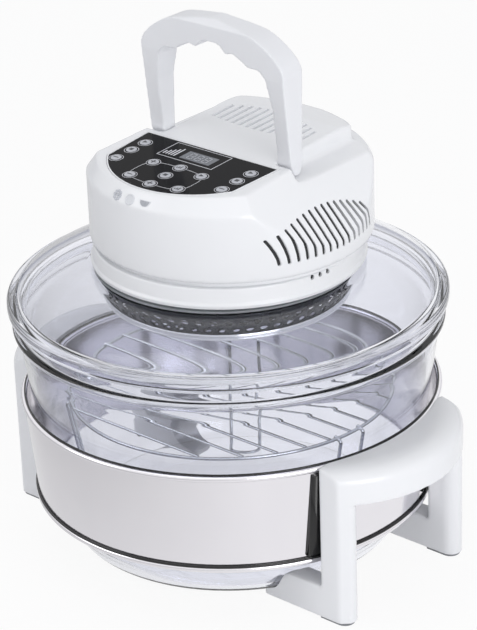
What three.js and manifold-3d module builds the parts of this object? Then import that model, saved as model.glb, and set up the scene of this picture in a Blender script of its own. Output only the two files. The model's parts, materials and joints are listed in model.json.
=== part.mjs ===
// Round glass tabletop oven: heated fan head on a glass lid, glass bowl, polished band and two leg frames.
// Millimetres, +Z up. The origin is on the floor at the axis of the bowl, and the control panel faces -Y.

import * as THREE from 'three';
import { mergeVertices } from 'three/addons/utils/BufferGeometryUtils.js';
import Module from 'manifold-3d';

// Clearances and counts used all over

const weldDistance = 1e-3;
const clearance = 0.3;
const overrun = 2;
const ringSides = 32;
const plainSides = 10;
const keySides = 8;
const holeSides = 5;
const wireSides = 5;
const arcSteps = 7;
const quarterTurn = Math.PI / 2;
const fullTurn = Math.PI * 2;
const degree = Math.PI / 180;

// Stand: band, leg frames, screws and pads

const padHeight = 1.5;
const padInset = 2;
const postInset = 19.3;
const postReach = 9.7;
const postWidth = 19;
const postOffset = 65.5;
const standRise = 4;
const armRun = 32;
const armFlatInset = 8;
const armHeight = 28.5;
const armTipHeight = 14;
const gripDepth = 36.7;
const gripCornerOut = 2.7;
const gripCornerSide = 75;
const gripSkirtDepth = 28;
const gripInnerDepth = 37;
const gripWall = 4;
const gripHollowSide = 53;
const bandStandoff = 2.8;
const bandTopHeight = 126;
const bandTopStep = 6.7;
const bandLowHeight = 46;
const beadRadius = 2.4;
const beadSteps = 4;
const sheetThickness = 0.9;
const bandScrewDrop = 14;
const screwHeadRadius = 3.6;
const screwHeadHeight = 2;
const screwShankRadius = 2;
const bandScrewLength = 13;

// Glass bowl

const glassWall = 4.5;
const bowlBase = 6.5;
const bowlFlatInset = 6;
const bowlSwell = 36.5;
const bowlFootHeight = 10;
const bowlMouthRadius = 162.5;
const bowlMouthHeight = 173;
const bowlSwellShare = 0.56;
const bowlSteps = 5;
const flangeReach = 5.5;
const flangeLift = 11;
const flangeThickness = 5.5;
const flangeRound = 2;
const neckStep = 2;
const neckHeight = 9;
const neckRound = 2;

// Wire rack

const rackInset = 35.5;
const rackHeight = 125;
const wireRadius = 1.6;
const wireSpreadShare = 0.945;
const wireRows = 6;
const rackLegSpread = 12;
const rackLegBow = 3.5;
const rackLegDrop = 9;
const rackFootInset = 18;
const rackLegAngles = [-5 * degree, 127 * degree, 227 * degree];
const rackLegSteps = 16;

// Glass lid

const lidOverhang = 3;
const lidLift = 1.5;
const lidRimRound = 3;
const lidRimHeight = 9;
const lidGlass = 4.5;
const lidDomeRise = 22;
const lidCollarRadius = 108;
const lidHoleRadius = 92;
const lidLipWall = 3;
const lidLipDepth = 6;
const lidLipPlay = 1;
const lidDomeSteps = 5;
const rimSealHeight = 1.2;
const collarSealHeight = 2;
const collarSealRadius = 103;

// Fan guard, reflector and lamp under the lid

const guardDrop = 25.5;
const guardSheet = 1;
const guardLowRadius = 91.5;
const guardHighRadius = 101.5;
const guardFlangeInner = 80;
const guardFlangeThickness = 1.2;
const guardRows = 3;
const guardHolesPerRow = 16;
const guardHoleRadius = 2.4;
const guardBottomRings = 2;
const guardBottomHoles = 6;
const guardBottomHoleRadius = 3;
const guardBottomPitch = 30;
const trimThickness = 1.2;
const trimHeight = 3;
const trimFoot = 5;
const reflectorThickness = 1.2;
const reflectorRadius = 91;
const clampRadius = 86;
const clampBossRadius = 4.5;
const lampRadius = 70;
const lampTubeRadius = 5;
const lampDrop = 8;
const lampGap = 24 * degree;
const lampSteps = 24;
const lampSides = 8;
const holderLength = 14;
const holderWidth = 15;
const holderDepth = 5;

// Lower housing

const skirtCentre = 3;
const skirtRadius = 106;
const skirtBulge = 0.6;
const skirtBulgeRise = 3;
const skirtTopRadius = 104;
const skirtHeight = 17.5;
const skirtWall = 3;
const skirtShelf = 2.5;
const shelfHoleRadius = 97;
const grooveDepth = 6;
const spigotRise = 9;
const ventHoleRadius = 1.2;
const ventHolePitch = 4 * degree;
const ventHoleAngle = 81 * degree;
const ventHoleDrop = 4.5;

// Main housing

const headCentre = 7.5;
const headRadius = 109.3;
const headWall = 3;
const headLift = 3.9;
const headSideHeight = 53;
const chamferRise = 10.5;
const chamferTopRadius = 102;
const ceilingRise = 81;
const sideLean = 0.7;
const ledgeRise = 6;
const ledgeStart = -5;
const sideAtLedge = 79.5;
const blockHalf = 56.5;
const blockBackRadius = 96;
const creaseAt = 72;
const backSlopeDrop = 5;
const panelTilt = 3.1 * degree;
const panelRear = -11.2;
const panelRise = 68.9;
const sideSlotCount = 15;
const sideSlotPitch = 7.05;
const sideSlotWidth = 2.8;
const sideSlotMiddle = 2.4;
const sideSlotFoot = 11.5;
const sideSlotRun = 31;
const sideSlotHighDrop = 9;
const sideSlotLean = 4.5;
const sideSlotEndLean = 5;
const sideSlotInner = 60;
const topSlotCount = 13;
const topSlotPitch = 7;
const topSlotWidth = 2.6;
const topSlotFront = 30;
const topSlotFrontRise = 13;
const topSlotBack = 70;
const topSlotBackDrop = 9;
const notchAngle = 43 * degree;
const notchWidth = 5;
const notchHeight = 1.6;

// Control panel, keys and board. Lengths along the panel count forward from its rear edge.

const panelThickness = 1.5;
const panelRearHalf = 66;
const panelFrontHalf = 63;
const panelFront = 81.5;
const panelArcRadius = 77.3;
const panelSeat = 4;
const keyRadius = 4.3;
const keyRise = 0.8;
const keyFlange = 1;
const keyFlangeHeight = 1;
const keyFlangeGap = 0.4;
const keyStemRadius = 1.5;
const keyStemLength = 5.6;
const keyTravel = 0.5;
const switchSize = 5;
const boardDepth = 8;
const boardThickness = 1.6;
const boardInset = 1;
const boardTabHalf = 46;
const boardTabReach = 8;
const bossRadius = 2.4;
const rearBossAt = 40;
const rearBossReach = 4;
const frontBossAngle = 37 * degree;
const sideKeyColumn = 53;
const sideKeyRows = [17.6, 33, 50];
const dialMiddle = [1, 54];
const dialUpperRow = 41;
const dialLowerRow = 67;
const dialTop = 38;
const dialBottom = 71;
const dialSide = 24;
const windowLeft = -13;
const windowRight = 16.5;
const windowRear = 10.5;
const windowFront = 24;
const displayMargin = 2;
const lensAngles = [-9.4 * degree, -2.1 * degree, 5.6 * degree];
const lensRadius = 4.2;
const lensRise = 0.6;
const lensDepth = 4.4;

// Carry handle, hinge pins and safety switch

const hingeAt = 3.5;
const hingeRise = 64.3;
const pinRadius = 2.5;
const pinInner = 51;
const pinOuter = 68.5;
const handleFootInner = 57.2;
const handleFootOuter = 70.5;
const handleShoulderInner = 52.6;
const handleStraight = 47;
const handleShoulder = 71.7;
const handleTop = 107.7;
const footHalf = 6.5;
const footRise = 5;
const handleFrontTop = 13.5;
const handleBackTop = 8.5;
const camRest = 4.4;
const camFolded = 5;
const foldAngle = 72 * degree;
const camSteps = 5;
const plungerRadius = 1.4;
const plungerLength = 5.5;
const plungerGap = 0.4;
const plungerRest = 0.2;
const switchWidth = 12;
const switchLength = 19;
const switchHeight = 12;
const switchRib = 2;
const switchRibDrop = 11;

// Motor, fans and other inner pieces

const shaftRadius = 3;
const fanDrop = 19;
const shaftLength = 63;
const hotFanRadius = 42;
const hotFanHeight = 9;
const hotFanVanes = 8;
const coolFanRadius = 40;
const coolFanLift = 9;
const coolFanHeight = 9;
const coolFanBlades = 7;
const bladeThickness = 1.4;
const bladePitch = 28 * degree;
const hubRadius = 8;
const fanDisc = 1.2;
const bracketSheet = 2.4;
const bracketWidth = 16;
const bracketHeight = 22;
const bracketLegInner = 50;
const bracketLegSplay = 4;
const bracketFoot = 92;
const motorRadius = 28;
const motorHeight = 30;
const motorCapRadius = 16;
const motorCapHeight = 4;
const thermostatRadius = 9;
const thermostatHeight = 7;
const thermostatAt = 66;
const glandRise = 20;
const glandNeck = 6.2;
const glandFlange = 9;
const glandBore = 3.5;
const glandLip = 2;

// Radii and levels worked out from the sizes above

const neckRadius = bowlMouthRadius + neckStep;
const flangeRadius = bowlMouthRadius + flangeReach;
const bowlFootRadius = bowlMouthRadius - bowlSwell;
const bowlFlatRadius = bowlFootRadius - bowlFlatInset;
const flangeLow = bowlMouthHeight + flangeLift;
const flangeHigh = flangeLow + flangeThickness;
const bowlTop = flangeHigh + neckHeight;
const bandTopRadius = bowlMouthRadius + bandStandoff;
const bandLowRadius = bandTopRadius - bandTopStep;
const bandScrewHeight = bandTopHeight - bandScrewDrop;
const postInner = bandTopRadius - postInset;
const postOuter = bandTopRadius + postReach;
const standTop = bandTopHeight + standRise;
const gripReach = bandTopRadius + gripDepth;
const gripCorner = bandTopRadius + gripCornerOut;
const gripSkirtLow = standTop - gripSkirtDepth;
const gripInnerLow = standTop - gripInnerDepth;
const armTip = bowlFootRadius - armRun;
const armFlatEnd = bowlFootRadius - armFlatInset;
const rackRadius = bowlMouthRadius - rackInset;
const rackFootRadius = rackRadius - rackFootInset;
const wirePitch = (rackRadius * wireSpreadShare) / wireRows;
const lidRimRadius = flangeRadius + lidOverhang;
const lidRimLow = bowlTop + lidLift;
const lidRimTop = lidRimLow + lidRimHeight;
const lidTop = lidRimTop + lidDomeRise;
const guardLow = lidTop - guardDrop;
const shaftLow = lidTop - fanDrop;
const hotFanLow = lidTop - fanDrop;
const coolFanLow = lidTop + coolFanLift;
const skirtLow = lidTop + clearance + collarSealHeight + clearance;
const floorTop = skirtLow + skirtWall;
const skirtTop = skirtLow + skirtHeight;
const headBottom = skirtTop + headLift;
const chamferLow = headBottom + headSideHeight;
const chamferTop = chamferLow + chamferRise;
const ledgeHeight = chamferLow + ledgeRise;
const headCeiling = headBottom + ceilingRise;
const panelHeight = headBottom + panelRise;
const hingeHeight = headBottom + hingeRise;
const sideSlotLow = headBottom + sideSlotFoot;
const sideSlotHigh = sideSlotLow + sideSlotRun;
const glandHeight = headBottom + glandRise;
const flangeTop = lidTop - lidGlass - clearance;
const flangeLowFace = flangeTop - guardFlangeThickness;
const reflectorTop = flangeLowFace - clearance;
const reflectorLow = reflectorTop - reflectorThickness;
const lampHeight = reflectorLow - lampDrop;
const bracketLow = floorTop + clearance;
const bracketTop = bracketLow + bracketHeight;
const motorLow = bracketTop + clearance;
const postBottom = padHeight;

// Solids: closed geometry in, closed geometry out

const wasm = await Module();
wasm.setup();

function toSolid(geometry) {
  const bare = geometry.clone();
  bare.deleteAttribute('normal');
  bare.deleteAttribute('uv');
  const merged = mergeVertices(bare, weldDistance);
  const points = merged.attributes.position.array;
  const corners = [];
  let volume = 0;
  for (let i = 0; i < merged.index.count; i += 3) {
    const [a, b, c] = [0, 1, 2].map((step) => merged.index.array[i + step]);
    if (a === b || b === c || c === a) continue;
    corners.push(a, b, c);
    const [p, q, r] = [a, b, c].map((n) => new THREE.Vector3().fromArray(points, n * 3));
    volume += p.dot(q.cross(r));
  }
  if (volume < 0) corners.reverse();
  return new wasm.Manifold(
    new wasm.Mesh({
      numProp: 3,
      vertProperties: new Float32Array(points),
      triVerts: new Uint32Array(corners),
    }),
  );
}

function toGeometry(solid) {
  const mesh = solid.getMesh();
  const geometry = new THREE.BufferGeometry();
  geometry.setAttribute('position', new THREE.BufferAttribute(new Float32Array(mesh.vertProperties), 3));
  geometry.setIndex(new THREE.BufferAttribute(new Uint32Array(mesh.triVerts), 1));
  geometry.computeVertexNormals();
  return geometry;
}

const join = (...geometries) =>
  geometries.map(toSolid).reduce((whole, piece) => whole.add(piece));
const cut = (solid, ...geometries) =>
  geometries.map(toSolid).reduce((rest, tool) => rest.subtract(tool), solid);

// Basic shapes, standing on z = 0 or between given levels

const lathe = (profile, sides = ringSides) =>
  new THREE.LatheGeometry(
    profile.map(([radius, height]) => new THREE.Vector2(radius, height)),
    sides,
  ).rotateX(quarterTurn);
const ring = (profile, sides = ringSides) => lathe([...profile, profile[0]], sides);
const disc = (radius, low, high, sides = ringSides) =>
  lathe([[0, low], [radius, low], [radius, high], [0, high]], sides);
const tubeRing = (inner, outer, low, high, sides = ringSides) =>
  ring([[inner, low], [outer, low], [outer, high], [inner, high]], sides);
const block = (x0, x1, y0, y1, z0, z1) =>
  new THREE.BoxGeometry(x1 - x0, y1 - y0, z1 - z0).translate((x0 + x1) / 2, (y0 + y1) / 2, (z0 + z1) / 2);
const outline = (points) => new THREE.Shape(points.map(([x, y]) => new THREE.Vector2(x, y)));
const extrude = (shape, depth) =>
  new THREE.ExtrudeGeometry(shape, { depth, bevelEnabled: false, curveSegments: arcSteps });
// A profile drawn in x and z, pushed from y0 to y1
const pushAlongY = (points, y0, y1) =>
  extrude(outline(points), y1 - y0).rotateX(quarterTurn).translate(0, y1, 0);
// A profile drawn in y and z, pushed from x0 to x1
const pushAlongX = (points, x0, x1) =>
  extrude(outline(points), x1 - x0).rotateX(quarterTurn).rotateZ(quarterTurn).translate(x0, 0, 0);

function sweep(path, radius, steps, sides = wireSides) {
  const section = outline(
    Array.from({ length: sides }, (_, i) => [
      radius * Math.cos((i * fullTurn) / sides),
      radius * Math.sin((i * fullTurn) / sides),
    ]),
  );
  return new THREE.ExtrudeGeometry(section, { steps, bevelEnabled: false, extrudePath: path });
}

// Finishes

const finish = (color, roughness, metalness, opacity = 1) =>
  new THREE.MeshStandardMaterial({ color, roughness, metalness, opacity, transparent: opacity < 1 });
const whitePlastic = finish(0xf2f3f5, 0.35, 0);
const glass = finish(0xe4ecee, 0.05, 0, 0.35);
const polishedSteel = finish(0xd0d2d6, 0.12, 1);
const chromeWire = finish(0xc8cacc, 0.15, 1);
const darkSteel = finish(0x6c6e72, 0.3, 1);
const panelBlack = finish(0x14141a, 0.15, 0);
const keySilver = finish(0xb4b6bc, 0.4, 0.6);
const displayGrey = finish(0x5a6068, 0.2, 0);
const boardGreen = finish(0x2f5d3a, 0.6, 0);
const iconGrey = finish(0xb8bac0, 0.4, 0);
const clearRubber = finish(0xdfe3e4, 0.6, 0, 0.6);
const greyRubber = finish(0x8a8c90, 0.8, 0);
const ceramic = finish(0xe9e4d8, 0.7, 0);
const quartz = finish(0xf3efe6, 0.1, 0, 0.6);
const alloy = finish(0xa8abaf, 0.4, 0.9);

const oven = new THREE.Group();

function addPart(name, shape, material, parent = oven) {
  const geometry = shape.isBufferGeometry ? toGeometry(toSolid(shape)) : toGeometry(shape);
  const mesh = new THREE.Mesh(geometry, material);
  mesh.name = name;
  parent.add(mesh);
  return mesh;
}

// Steel band with a rolled bead at each edge

const bandMidRadius = (height) => {
  const share = (height - bandLowHeight) / (bandTopHeight - bandLowHeight);
  return THREE.MathUtils.lerp(bandLowRadius, bandTopRadius, share) - beadRadius;
};

// Points round a bead, the angle counted from straight down towards the outside
function beadArc(height, swell, from, to) {
  const bead = beadRadius + swell;
  return Array.from({ length: beadSteps + 1 }, (_, i) => {
    const angle = from + (i / beadSteps) * (to - from);
    return [bandMidRadius(height) + bead * Math.sin(angle), height - bead * Math.cos(angle)];
  });
}

// The angle at which the sheet leaves its bead
const beadMouth = (swell) => Math.asin((sheetThickness / 2 + swell) / (beadRadius + swell));

function bandProfile() {
  const mouth = beadMouth(0);
  return [
    ...beadArc(bandTopHeight, 0, mouth, fullTurn - mouth),
    ...beadArc(bandLowHeight, 0, Math.PI + mouth, fullTurn + Math.PI - mouth),
  ];
}

const bandScrewAngle = Math.asin(postOffset / bandMidRadius(bandScrewHeight));
const bandScrewAngles = [1, -1].flatMap((side) =>
  [0, Math.PI].map((half) => half + side * bandScrewAngle),
);

function radialRod(radius, from, to, height, angle, sides = plainSides) {
  return disc(radius, from, to, sides).rotateY(quarterTurn).rotateZ(angle)
    .translate(0, 0, height);
}

// How far the flat of a many-sided ring lies inside its corners
const facetSag = (radius) => radius * (1 - Math.cos(Math.PI / ringSides));
const bandTaper = (bandTopRadius - bandLowRadius) / (bandTopHeight - bandLowHeight);
const bandInside = bandMidRadius(bandScrewHeight) - sheetThickness / 2;
const bandScrewStart = bandInside - facetSag(bandInside) - screwHeadRadius * bandTaper - clearance;
const bandHoles = bandScrewAngles.map((angle) =>
  radialRod(screwShankRadius + clearance, bandScrewStart - overrun, bandTopRadius, bandScrewHeight, angle),
);
addPart('steel_band', cut(toSolid(ring(bandProfile())), ...bandHoles), polishedSteel);

bandScrewAngles.forEach((angle, i) => {
  const screw = lathe(
    [
      [0, bandScrewStart - screwHeadHeight],
      [screwHeadRadius, bandScrewStart - screwHeadHeight],
      [screwHeadRadius, bandScrewStart],
      [screwShankRadius, bandScrewStart],
      [screwShankRadius, bandScrewStart + bandScrewLength],
      [0, bandScrewStart + bandScrewLength],
    ],
    plainSides,
  ).rotateY(quarterTurn);
  const mesh = addPart(`band_screw_${i + 1}`, screw, polishedSteel);
  mesh.position.z = bandScrewHeight;
  mesh.rotation.z = angle;
});

// Glass bowl: base, swelling wall, flange bead and neck

function bowlOuter(swell) {
  const points = [[0, bowlBase - swell], [bowlFlatRadius, bowlBase - swell]];
  for (let i = 0; i <= bowlSteps; i += 1) {
    const share = (i / bowlSteps) ** 2;
    points.push([
      THREE.MathUtils.lerp(bowlFootRadius, bowlMouthRadius, share ** bowlSwellShare) + swell,
      THREE.MathUtils.lerp(bowlFootHeight, bowlMouthHeight, share),
    ]);
  }
  return points;
}

const bowlOutside = [
  ...bowlOuter(0),
  [bowlMouthRadius + flangeRound / 2, flangeLow],
  [flangeRadius - flangeRound, flangeLow],
  [flangeRadius, flangeLow + flangeRound],
  [flangeRadius, flangeHigh - flangeRound],
  [neckRadius, flangeHigh],
  [neckRadius, bowlTop - neckRound],
  [neckRadius - neckRound, bowlTop],
];
const bowlMouthInner = neckRadius - glassWall;
const bowlInside = [
  [bowlMouthInner, bowlTop - neckRound],
  ...bowlOuter(-glassWall).reverse(),
];
addPart('glass_bowl', lathe([...bowlOutside, ...bowlInside]), glass);
const bowlFloor = bowlBase + glassWall;

// Leg frames: two posts, two arms under the bowl and a bowed grip that is hollow below

const gripSagitta = gripReach - gripCorner;
const gripArcRadius = (gripCornerSide ** 2 + gripSagitta ** 2) / (2 * gripSagitta);
const gripArcCentre = gripReach - gripArcRadius;
const bandSeat = bandTopRadius + clearance;

function crescent(innerRadius, outerRadius, side, low, high) {
  const shape = new THREE.Shape();
  const innerEnd = Math.asin(side / innerRadius);
  const outerEnd = Math.asin(side / outerRadius);
  shape.absarc(0, 0, innerRadius, innerEnd, -innerEnd, true);
  shape.absarc(gripArcCentre, 0, outerRadius, -outerEnd, outerEnd, false);
  return extrude(shape, high - low).translate(0, 0, low);
}

function post(side) {
  const half = postWidth / 2;
  const shape = new THREE.Shape();
  shape.moveTo(postInner, side - half);
  shape.lineTo(postOuter - half, side - half);
  shape.absarc(postOuter - half, side, half, -quarterTurn, quarterTurn, false);
  shape.lineTo(postInner, side + half);
  return extrude(shape, standTop - postBottom).translate(0, 0, postBottom);
}

function arm(side) {
  const profile = [
    [armTip, postBottom],
    [postInner + overrun, postBottom],
    [postInner + overrun, armHeight],
    [armFlatEnd, armHeight],
    [armTip, armTipHeight],
  ];
  return pushAlongY(profile, side - postWidth / 2, side + postWidth / 2);
}

const gripInner = bandSeat - overrun;
const bowlRoom = lathe([...bowlOuter(clearance), [0, bowlMouthHeight]]);
const bandMouth = beadMouth(clearance);
const bandRoom = lathe([
  [0, bandLowHeight - beadRadius - clearance],
  ...beadArc(bandLowHeight, clearance, 0, Math.PI - bandMouth),
  ...beadArc(bandTopHeight, clearance, bandMouth, quarterTurn),
  [bandSeat, standTop + overrun],
  [0, standTop + overrun],
]);
const gripHollow = crescent(
  bandSeat + gripWall,
  gripArcRadius - gripWall,
  gripHollowSide,
  gripInnerLow - overrun,
  standTop - gripWall,
);
const gripUndercut = crescent(
  bandSeat + gripWall,
  gripArcRadius + overrun,
  gripHollowSide + overrun,
  gripInnerLow - overrun,
  gripSkirtLow,
);
const standScrewRoom = [1, -1].map((side) =>
  radialRod(
    screwShankRadius + clearance,
    bandScrewStart,
    bandScrewStart + bandScrewLength + clearance,
    bandScrewHeight,
    side * bandScrewAngle,
  ),
);
const gripBody = cut(
  join(crescent(gripInner, gripArcRadius, gripCornerSide, gripInnerLow, standTop)),
  gripHollow,
  gripUndercut,
);
const legFrame = cut(
  join(post(postOffset), post(-postOffset), arm(postOffset), arm(-postOffset)).add(gripBody),
  bowlRoom,
  bandRoom,
  ...standScrewRoom,
);

[['right', 0], ['left', Math.PI]].forEach(([name, turn]) => {
  addPart(`${name}_leg_frame`, legFrame, whitePlastic).rotation.z = turn;
  [postOffset, -postOffset].forEach((side, i) => {
    const half = postWidth / 2 - padInset;
    const pad = new THREE.Shape();
    pad.moveTo(postInner + padInset, side - half);
    pad.lineTo(postOuter - padInset - half, side - half);
    pad.absarc(postOuter - padInset - half, side, half, -quarterTurn, quarterTurn, false);
    pad.lineTo(postInner + padInset, side + half);
    addPart(`${name}_foot_pad_${i + 1}`, extrude(pad, padHeight), greyRubber).rotation.z = turn;
  });
});

// Wire rack: ring, cross wires and three double-wire legs that stand on the bowl floor

const rackFoot = bowlFloor + clearance + wireRadius;

function rackLeg(angle) {
  const place = (radius, spread, height) => {
    const point = new THREE.Vector3(radius, spread, height);
    return point.applyAxisAngle(new THREE.Vector3(0, 0, 1), angle);
  };
  const side = (sign) => [
    place(rackRadius, sign * rackLegSpread, rackHeight),
    place(rackRadius + rackLegBow, sign * rackLegSpread, rackHeight - rackLegBow),
    place(rackRadius, sign * rackLegSpread, rackHeight - rackLegDrop),
    place(rackFootRadius + rackLegBow, sign * rackLegSpread, rackFoot + rackLegDrop),
  ];
  const foot = place(rackFootRadius - rackLegDrop, 0, rackFoot);
  const path = new THREE.CatmullRomCurve3([...side(1), foot, ...side(-1).reverse()]);
  return sweep(path, wireRadius, rackLegSteps);
}

const rackWires = Array.from({ length: wireRows }, (_, i) => (i + 1 / 2) * wirePitch)
  .flatMap((y) => [y, -y])
  .map((y) => {
    const half = Math.sqrt(rackRadius ** 2 - y ** 2);
    return new THREE.CylinderGeometry(wireRadius, wireRadius, 2 * half, wireSides)
      .rotateZ(quarterTurn)
      .translate(0, y, rackHeight + wireRadius);
  });
const rackRing = new THREE.TorusGeometry(rackRadius, wireRadius, wireSides, ringSides)
  .translate(0, 0, rackHeight);
addPart('wire_rack', join(rackRing, ...rackWires, ...rackLegAngles.map(rackLeg)), chromeWire);

// Glass lid: rim with a locating lip, low dome and a flat collar round the hole

const lipRadius = bowlMouthInner - lidLipPlay;
const lidShoulder = lidRimRadius - lidRimRound;

function lidDome(drop, startRadius, startHeight) {
  return Array.from({ length: lidDomeSteps + 1 }, (_, i) => {
    const share = i / lidDomeSteps;
    const turn = share * quarterTurn;
    const radius = THREE.MathUtils.lerp(startRadius, lidCollarRadius, Math.sin(turn) * share ** (1 / 2));
    const height = THREE.MathUtils.lerp(startHeight, lidTop - drop, Math.sin(turn));
    return [radius, height];
  });
}

const lidOutside = [
  [lidRimRadius, lidRimLow + lidRimRound / 2],
  [lidRimRadius, lidRimTop - lidRimRound],
  [lidShoulder, lidRimTop],
  ...lidDome(0, lidShoulder - lidRimRound, lidRimTop + lidRimRound / 2),
  [lidHoleRadius, lidTop],
];
const lidInside = [
  [lidHoleRadius, lidTop - lidGlass],
  ...lidDome(lidGlass, lipRadius - lidLipWall, lidRimLow + lidRimRound).reverse(),
  [lipRadius - lidLipWall, lidRimLow - lidLipDepth],
  [lipRadius, lidRimLow - lidLipDepth],
  [lipRadius, lidRimLow],
  [lidShoulder, lidRimLow],
];
addPart('glass_lid', ring([...lidOutside, ...lidInside]), glass);
addPart(
  'rim_seal',
  tubeRing(lipRadius + clearance, neckRadius - neckRound, lidRimLow - rimSealHeight, lidRimLow),
  clearRubber,
);
addPart(
  'collar_seal',
  tubeRing(lidHoleRadius, collarSealRadius, lidTop + clearance, lidTop + clearance + collarSealHeight),
  clearRubber,
);

// Fan guard: perforated pan with a flange that clamps the glass from below

const guardHigh = flangeTop;
const guardSlope = (guardHighRadius - guardLowRadius) / (guardHigh - guardLow);
const guardWallRadius = (height) => guardLowRadius + guardSlope * (height - guardLow);
const guardLean = Math.atan(guardSlope);
const guardHoles = [];
for (let row = 0; row < guardRows; row += 1) {
  const height = guardLow + ((row + 1) * (guardHigh - guardLow)) / (guardRows + 1);
  for (let i = 0; i < guardHolesPerRow; i += 1) {
    const angle = ((i + (row + 1 / 2) / 2) * fullTurn) / guardHolesPerRow;
    guardHoles.push(
      disc(guardHoleRadius, -overrun, overrun, holeSides)
        .rotateY(quarterTurn + guardLean)
        .translate(guardWallRadius(height), 0, height)
        .rotateZ(angle),
    );
  }
}
for (let row = 1; row <= guardBottomRings; row += 1) {
  for (let i = 0; i < row * guardBottomHoles; i += 1) {
    guardHoles.push(
      disc(guardBottomHoleRadius, guardLow - overrun, guardLow + overrun, holeSides)
        .translate(row * guardBottomPitch, 0, 0)
        .rotateZ((i * fullTurn) / (row * guardBottomHoles)),
    );
  }
}
const clampAngles = [0, 1, 2, 3].map((i) => (i + 1 / 2) * quarterTurn);
const clampRods = (radius, low, high) =>
  clampAngles.map((angle) =>
    disc(radius, low, high, plainSides).translate(clampRadius, 0, 0).rotateZ(angle),
  );
const clampHoles = clampRods(screwShankRadius + clearance, reflectorLow - overrun, floorTop + overrun);
const guardShell = toSolid(
  lathe([
    [0, guardLow],
    [guardLowRadius, guardLow],
    [guardHighRadius, guardHigh],
    [guardFlangeInner, guardHigh],
    [guardFlangeInner, flangeLowFace],
    [guardWallRadius(flangeLowFace) - guardSheet, flangeLowFace],
    [guardLowRadius - guardSheet, guardLow + guardSheet],
    [0, guardLow + guardSheet],
  ]),
);
addPart('fan_guard', cut(guardShell, ...guardHoles, ...clampHoles), darkSteel);

const trimLow = guardLow - clearance;
const trimWall = (height, offset) => [guardWallRadius(height) + clearance + offset, height];
addPart(
  'guard_trim_ring',
  ring([
    [guardLowRadius - trimFoot, trimLow - trimThickness],
    trimWall(trimLow - trimThickness, trimThickness),
    trimWall(trimLow + trimHeight, trimThickness),
    trimWall(trimLow + trimHeight, 0),
    trimWall(trimLow, 0),
    [guardLowRadius - trimFoot, trimLow],
  ]),
  polishedSteel,
);

// Reflector plate, lamp and its two holders

const shaftHole = shaftRadius + overrun;
addPart(
  'reflector_plate',
  cut(toSolid(tubeRing(shaftHole, reflectorRadius, reflectorLow, reflectorTop)), ...clampHoles),
  polishedSteel,
);

class LampArc extends THREE.Curve {
  getPoint(share, target = new THREE.Vector3()) {
    const angle = quarterTurn + lampGap / 2 + share * (fullTurn - lampGap);
    return target.set(lampRadius * Math.cos(angle), lampRadius * Math.sin(angle), lampHeight);
  }
}
addPart('halogen_lamp', sweep(new LampArc(), lampTubeRadius, lampSteps, lampSides), quartz);

const holderTop = reflectorLow - clearance;
const holderLow = lampHeight - lampTubeRadius - clearance;
const socketRoom = disc(lampTubeRadius + 2 * clearance, 0, holderLength + overrun, lampSides);
[1, -1].forEach((side, i) => {
  const mount = (geometry) =>
    geometry.rotateZ(quarterTurn + (side * lampGap) / 2);
  const body = block(
    lampRadius - holderWidth / 2,
    lampRadius + holderWidth / 2,
    -holderLength / 2,
    holderLength / 2,
    holderLow,
    holderTop,
  ).translate(0, side * (holderDepth - holderLength / 2), 0);
  const socket = socketRoom.clone()
    .rotateX(-side * quarterTurn)
    .translate(lampRadius, -side * clearance, lampHeight);
  addPart(`lamp_holder_${i + 1}`, cut(toSolid(mount(body)), mount(socket)), ceramic);
});

// Lower housing: shallow tray that clamps the lid, with a groove and a spigot for the main housing

const atSkirt = (geometry) => geometry.translate(0, skirtCentre, 0);
const atHead = (geometry) => geometry.translate(0, headCentre, 0);
const grooveRadius = headRadius - grooveDepth;
const spigotRadius = headRadius - headWall - 2 * clearance;
const spigotLow = headBottom + clearance;
const skirtBody = join(
  atSkirt(
    lathe([
      [0, skirtLow],
      [skirtRadius, skirtLow],
      [skirtRadius + skirtBulge, skirtLow + skirtBulgeRise],
      [skirtTopRadius, skirtTop],
      [0, skirtTop],
    ]),
  ),
  atHead(
    lathe([
      [0, skirtTop - skirtShelf],
      [grooveRadius, skirtTop - skirtShelf],
      [grooveRadius, spigotLow],
      [spigotRadius, spigotLow],
      [spigotRadius, spigotLow + spigotRise],
      [0, spigotLow + spigotRise],
    ]),
  ),
  ...clampRods(clampBossRadius, flangeTop + clearance, floorTop),
);
const skirtVents = [-1, 0, 1].map((step) =>
  atSkirt(
    radialRod(
      ventHoleRadius,
      skirtTopRadius - 2 * skirtWall,
      skirtRadius + overrun,
      skirtTop - ventHoleDrop,
      ventHoleAngle - quarterTurn + step * ventHolePitch,
      holeSides,
    ),
  ),
);
const shelfCentre = (skirtCentre + headCentre) / 2;
addPart(
  'lower_housing',
  cut(
    skirtBody,
    atSkirt(disc(skirtTopRadius - skirtWall, floorTop, skirtTop - skirtShelf)),
    disc(shelfHoleRadius, floorTop, skirtTop + overrun).translate(0, shelfCentre, 0),
    atHead(disc(grooveRadius - skirtWall, skirtTop, spigotLow + spigotRise + overrun)),
    disc(shaftHole, skirtLow - overrun, floorTop + overrun, plainSides),
    ...clampHoles,
    ...skirtVents,
  ),
  whitePlastic,
);

clampAngles.forEach((angle, i) => {
  const head = reflectorLow - clearance;
  const screw = lathe(
    [
      [0, head - screwHeadHeight],
      [screwHeadRadius, head - screwHeadHeight],
      [screwHeadRadius, head],
      [screwShankRadius, head],
      [screwShankRadius, bracketLow + bracketSheet + overrun],
      [0, bracketLow + bracketSheet + overrun],
    ],
    plainSides,
  ).translate(clampRadius, 0, 0);
  addPart(`clamp_screw_${i + 1}`, screw, polishedSteel).rotation.z = angle;
});

// Main housing: round wall, leaning sides, sloping top with a raised rear block and side ledges

const chamferSlope = (headRadius - chamferTopRadius) / (chamferTop - chamferLow);
const topAt = (y) => panelHeight + Math.tan(panelTilt) * (y - panelRear);

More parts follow.
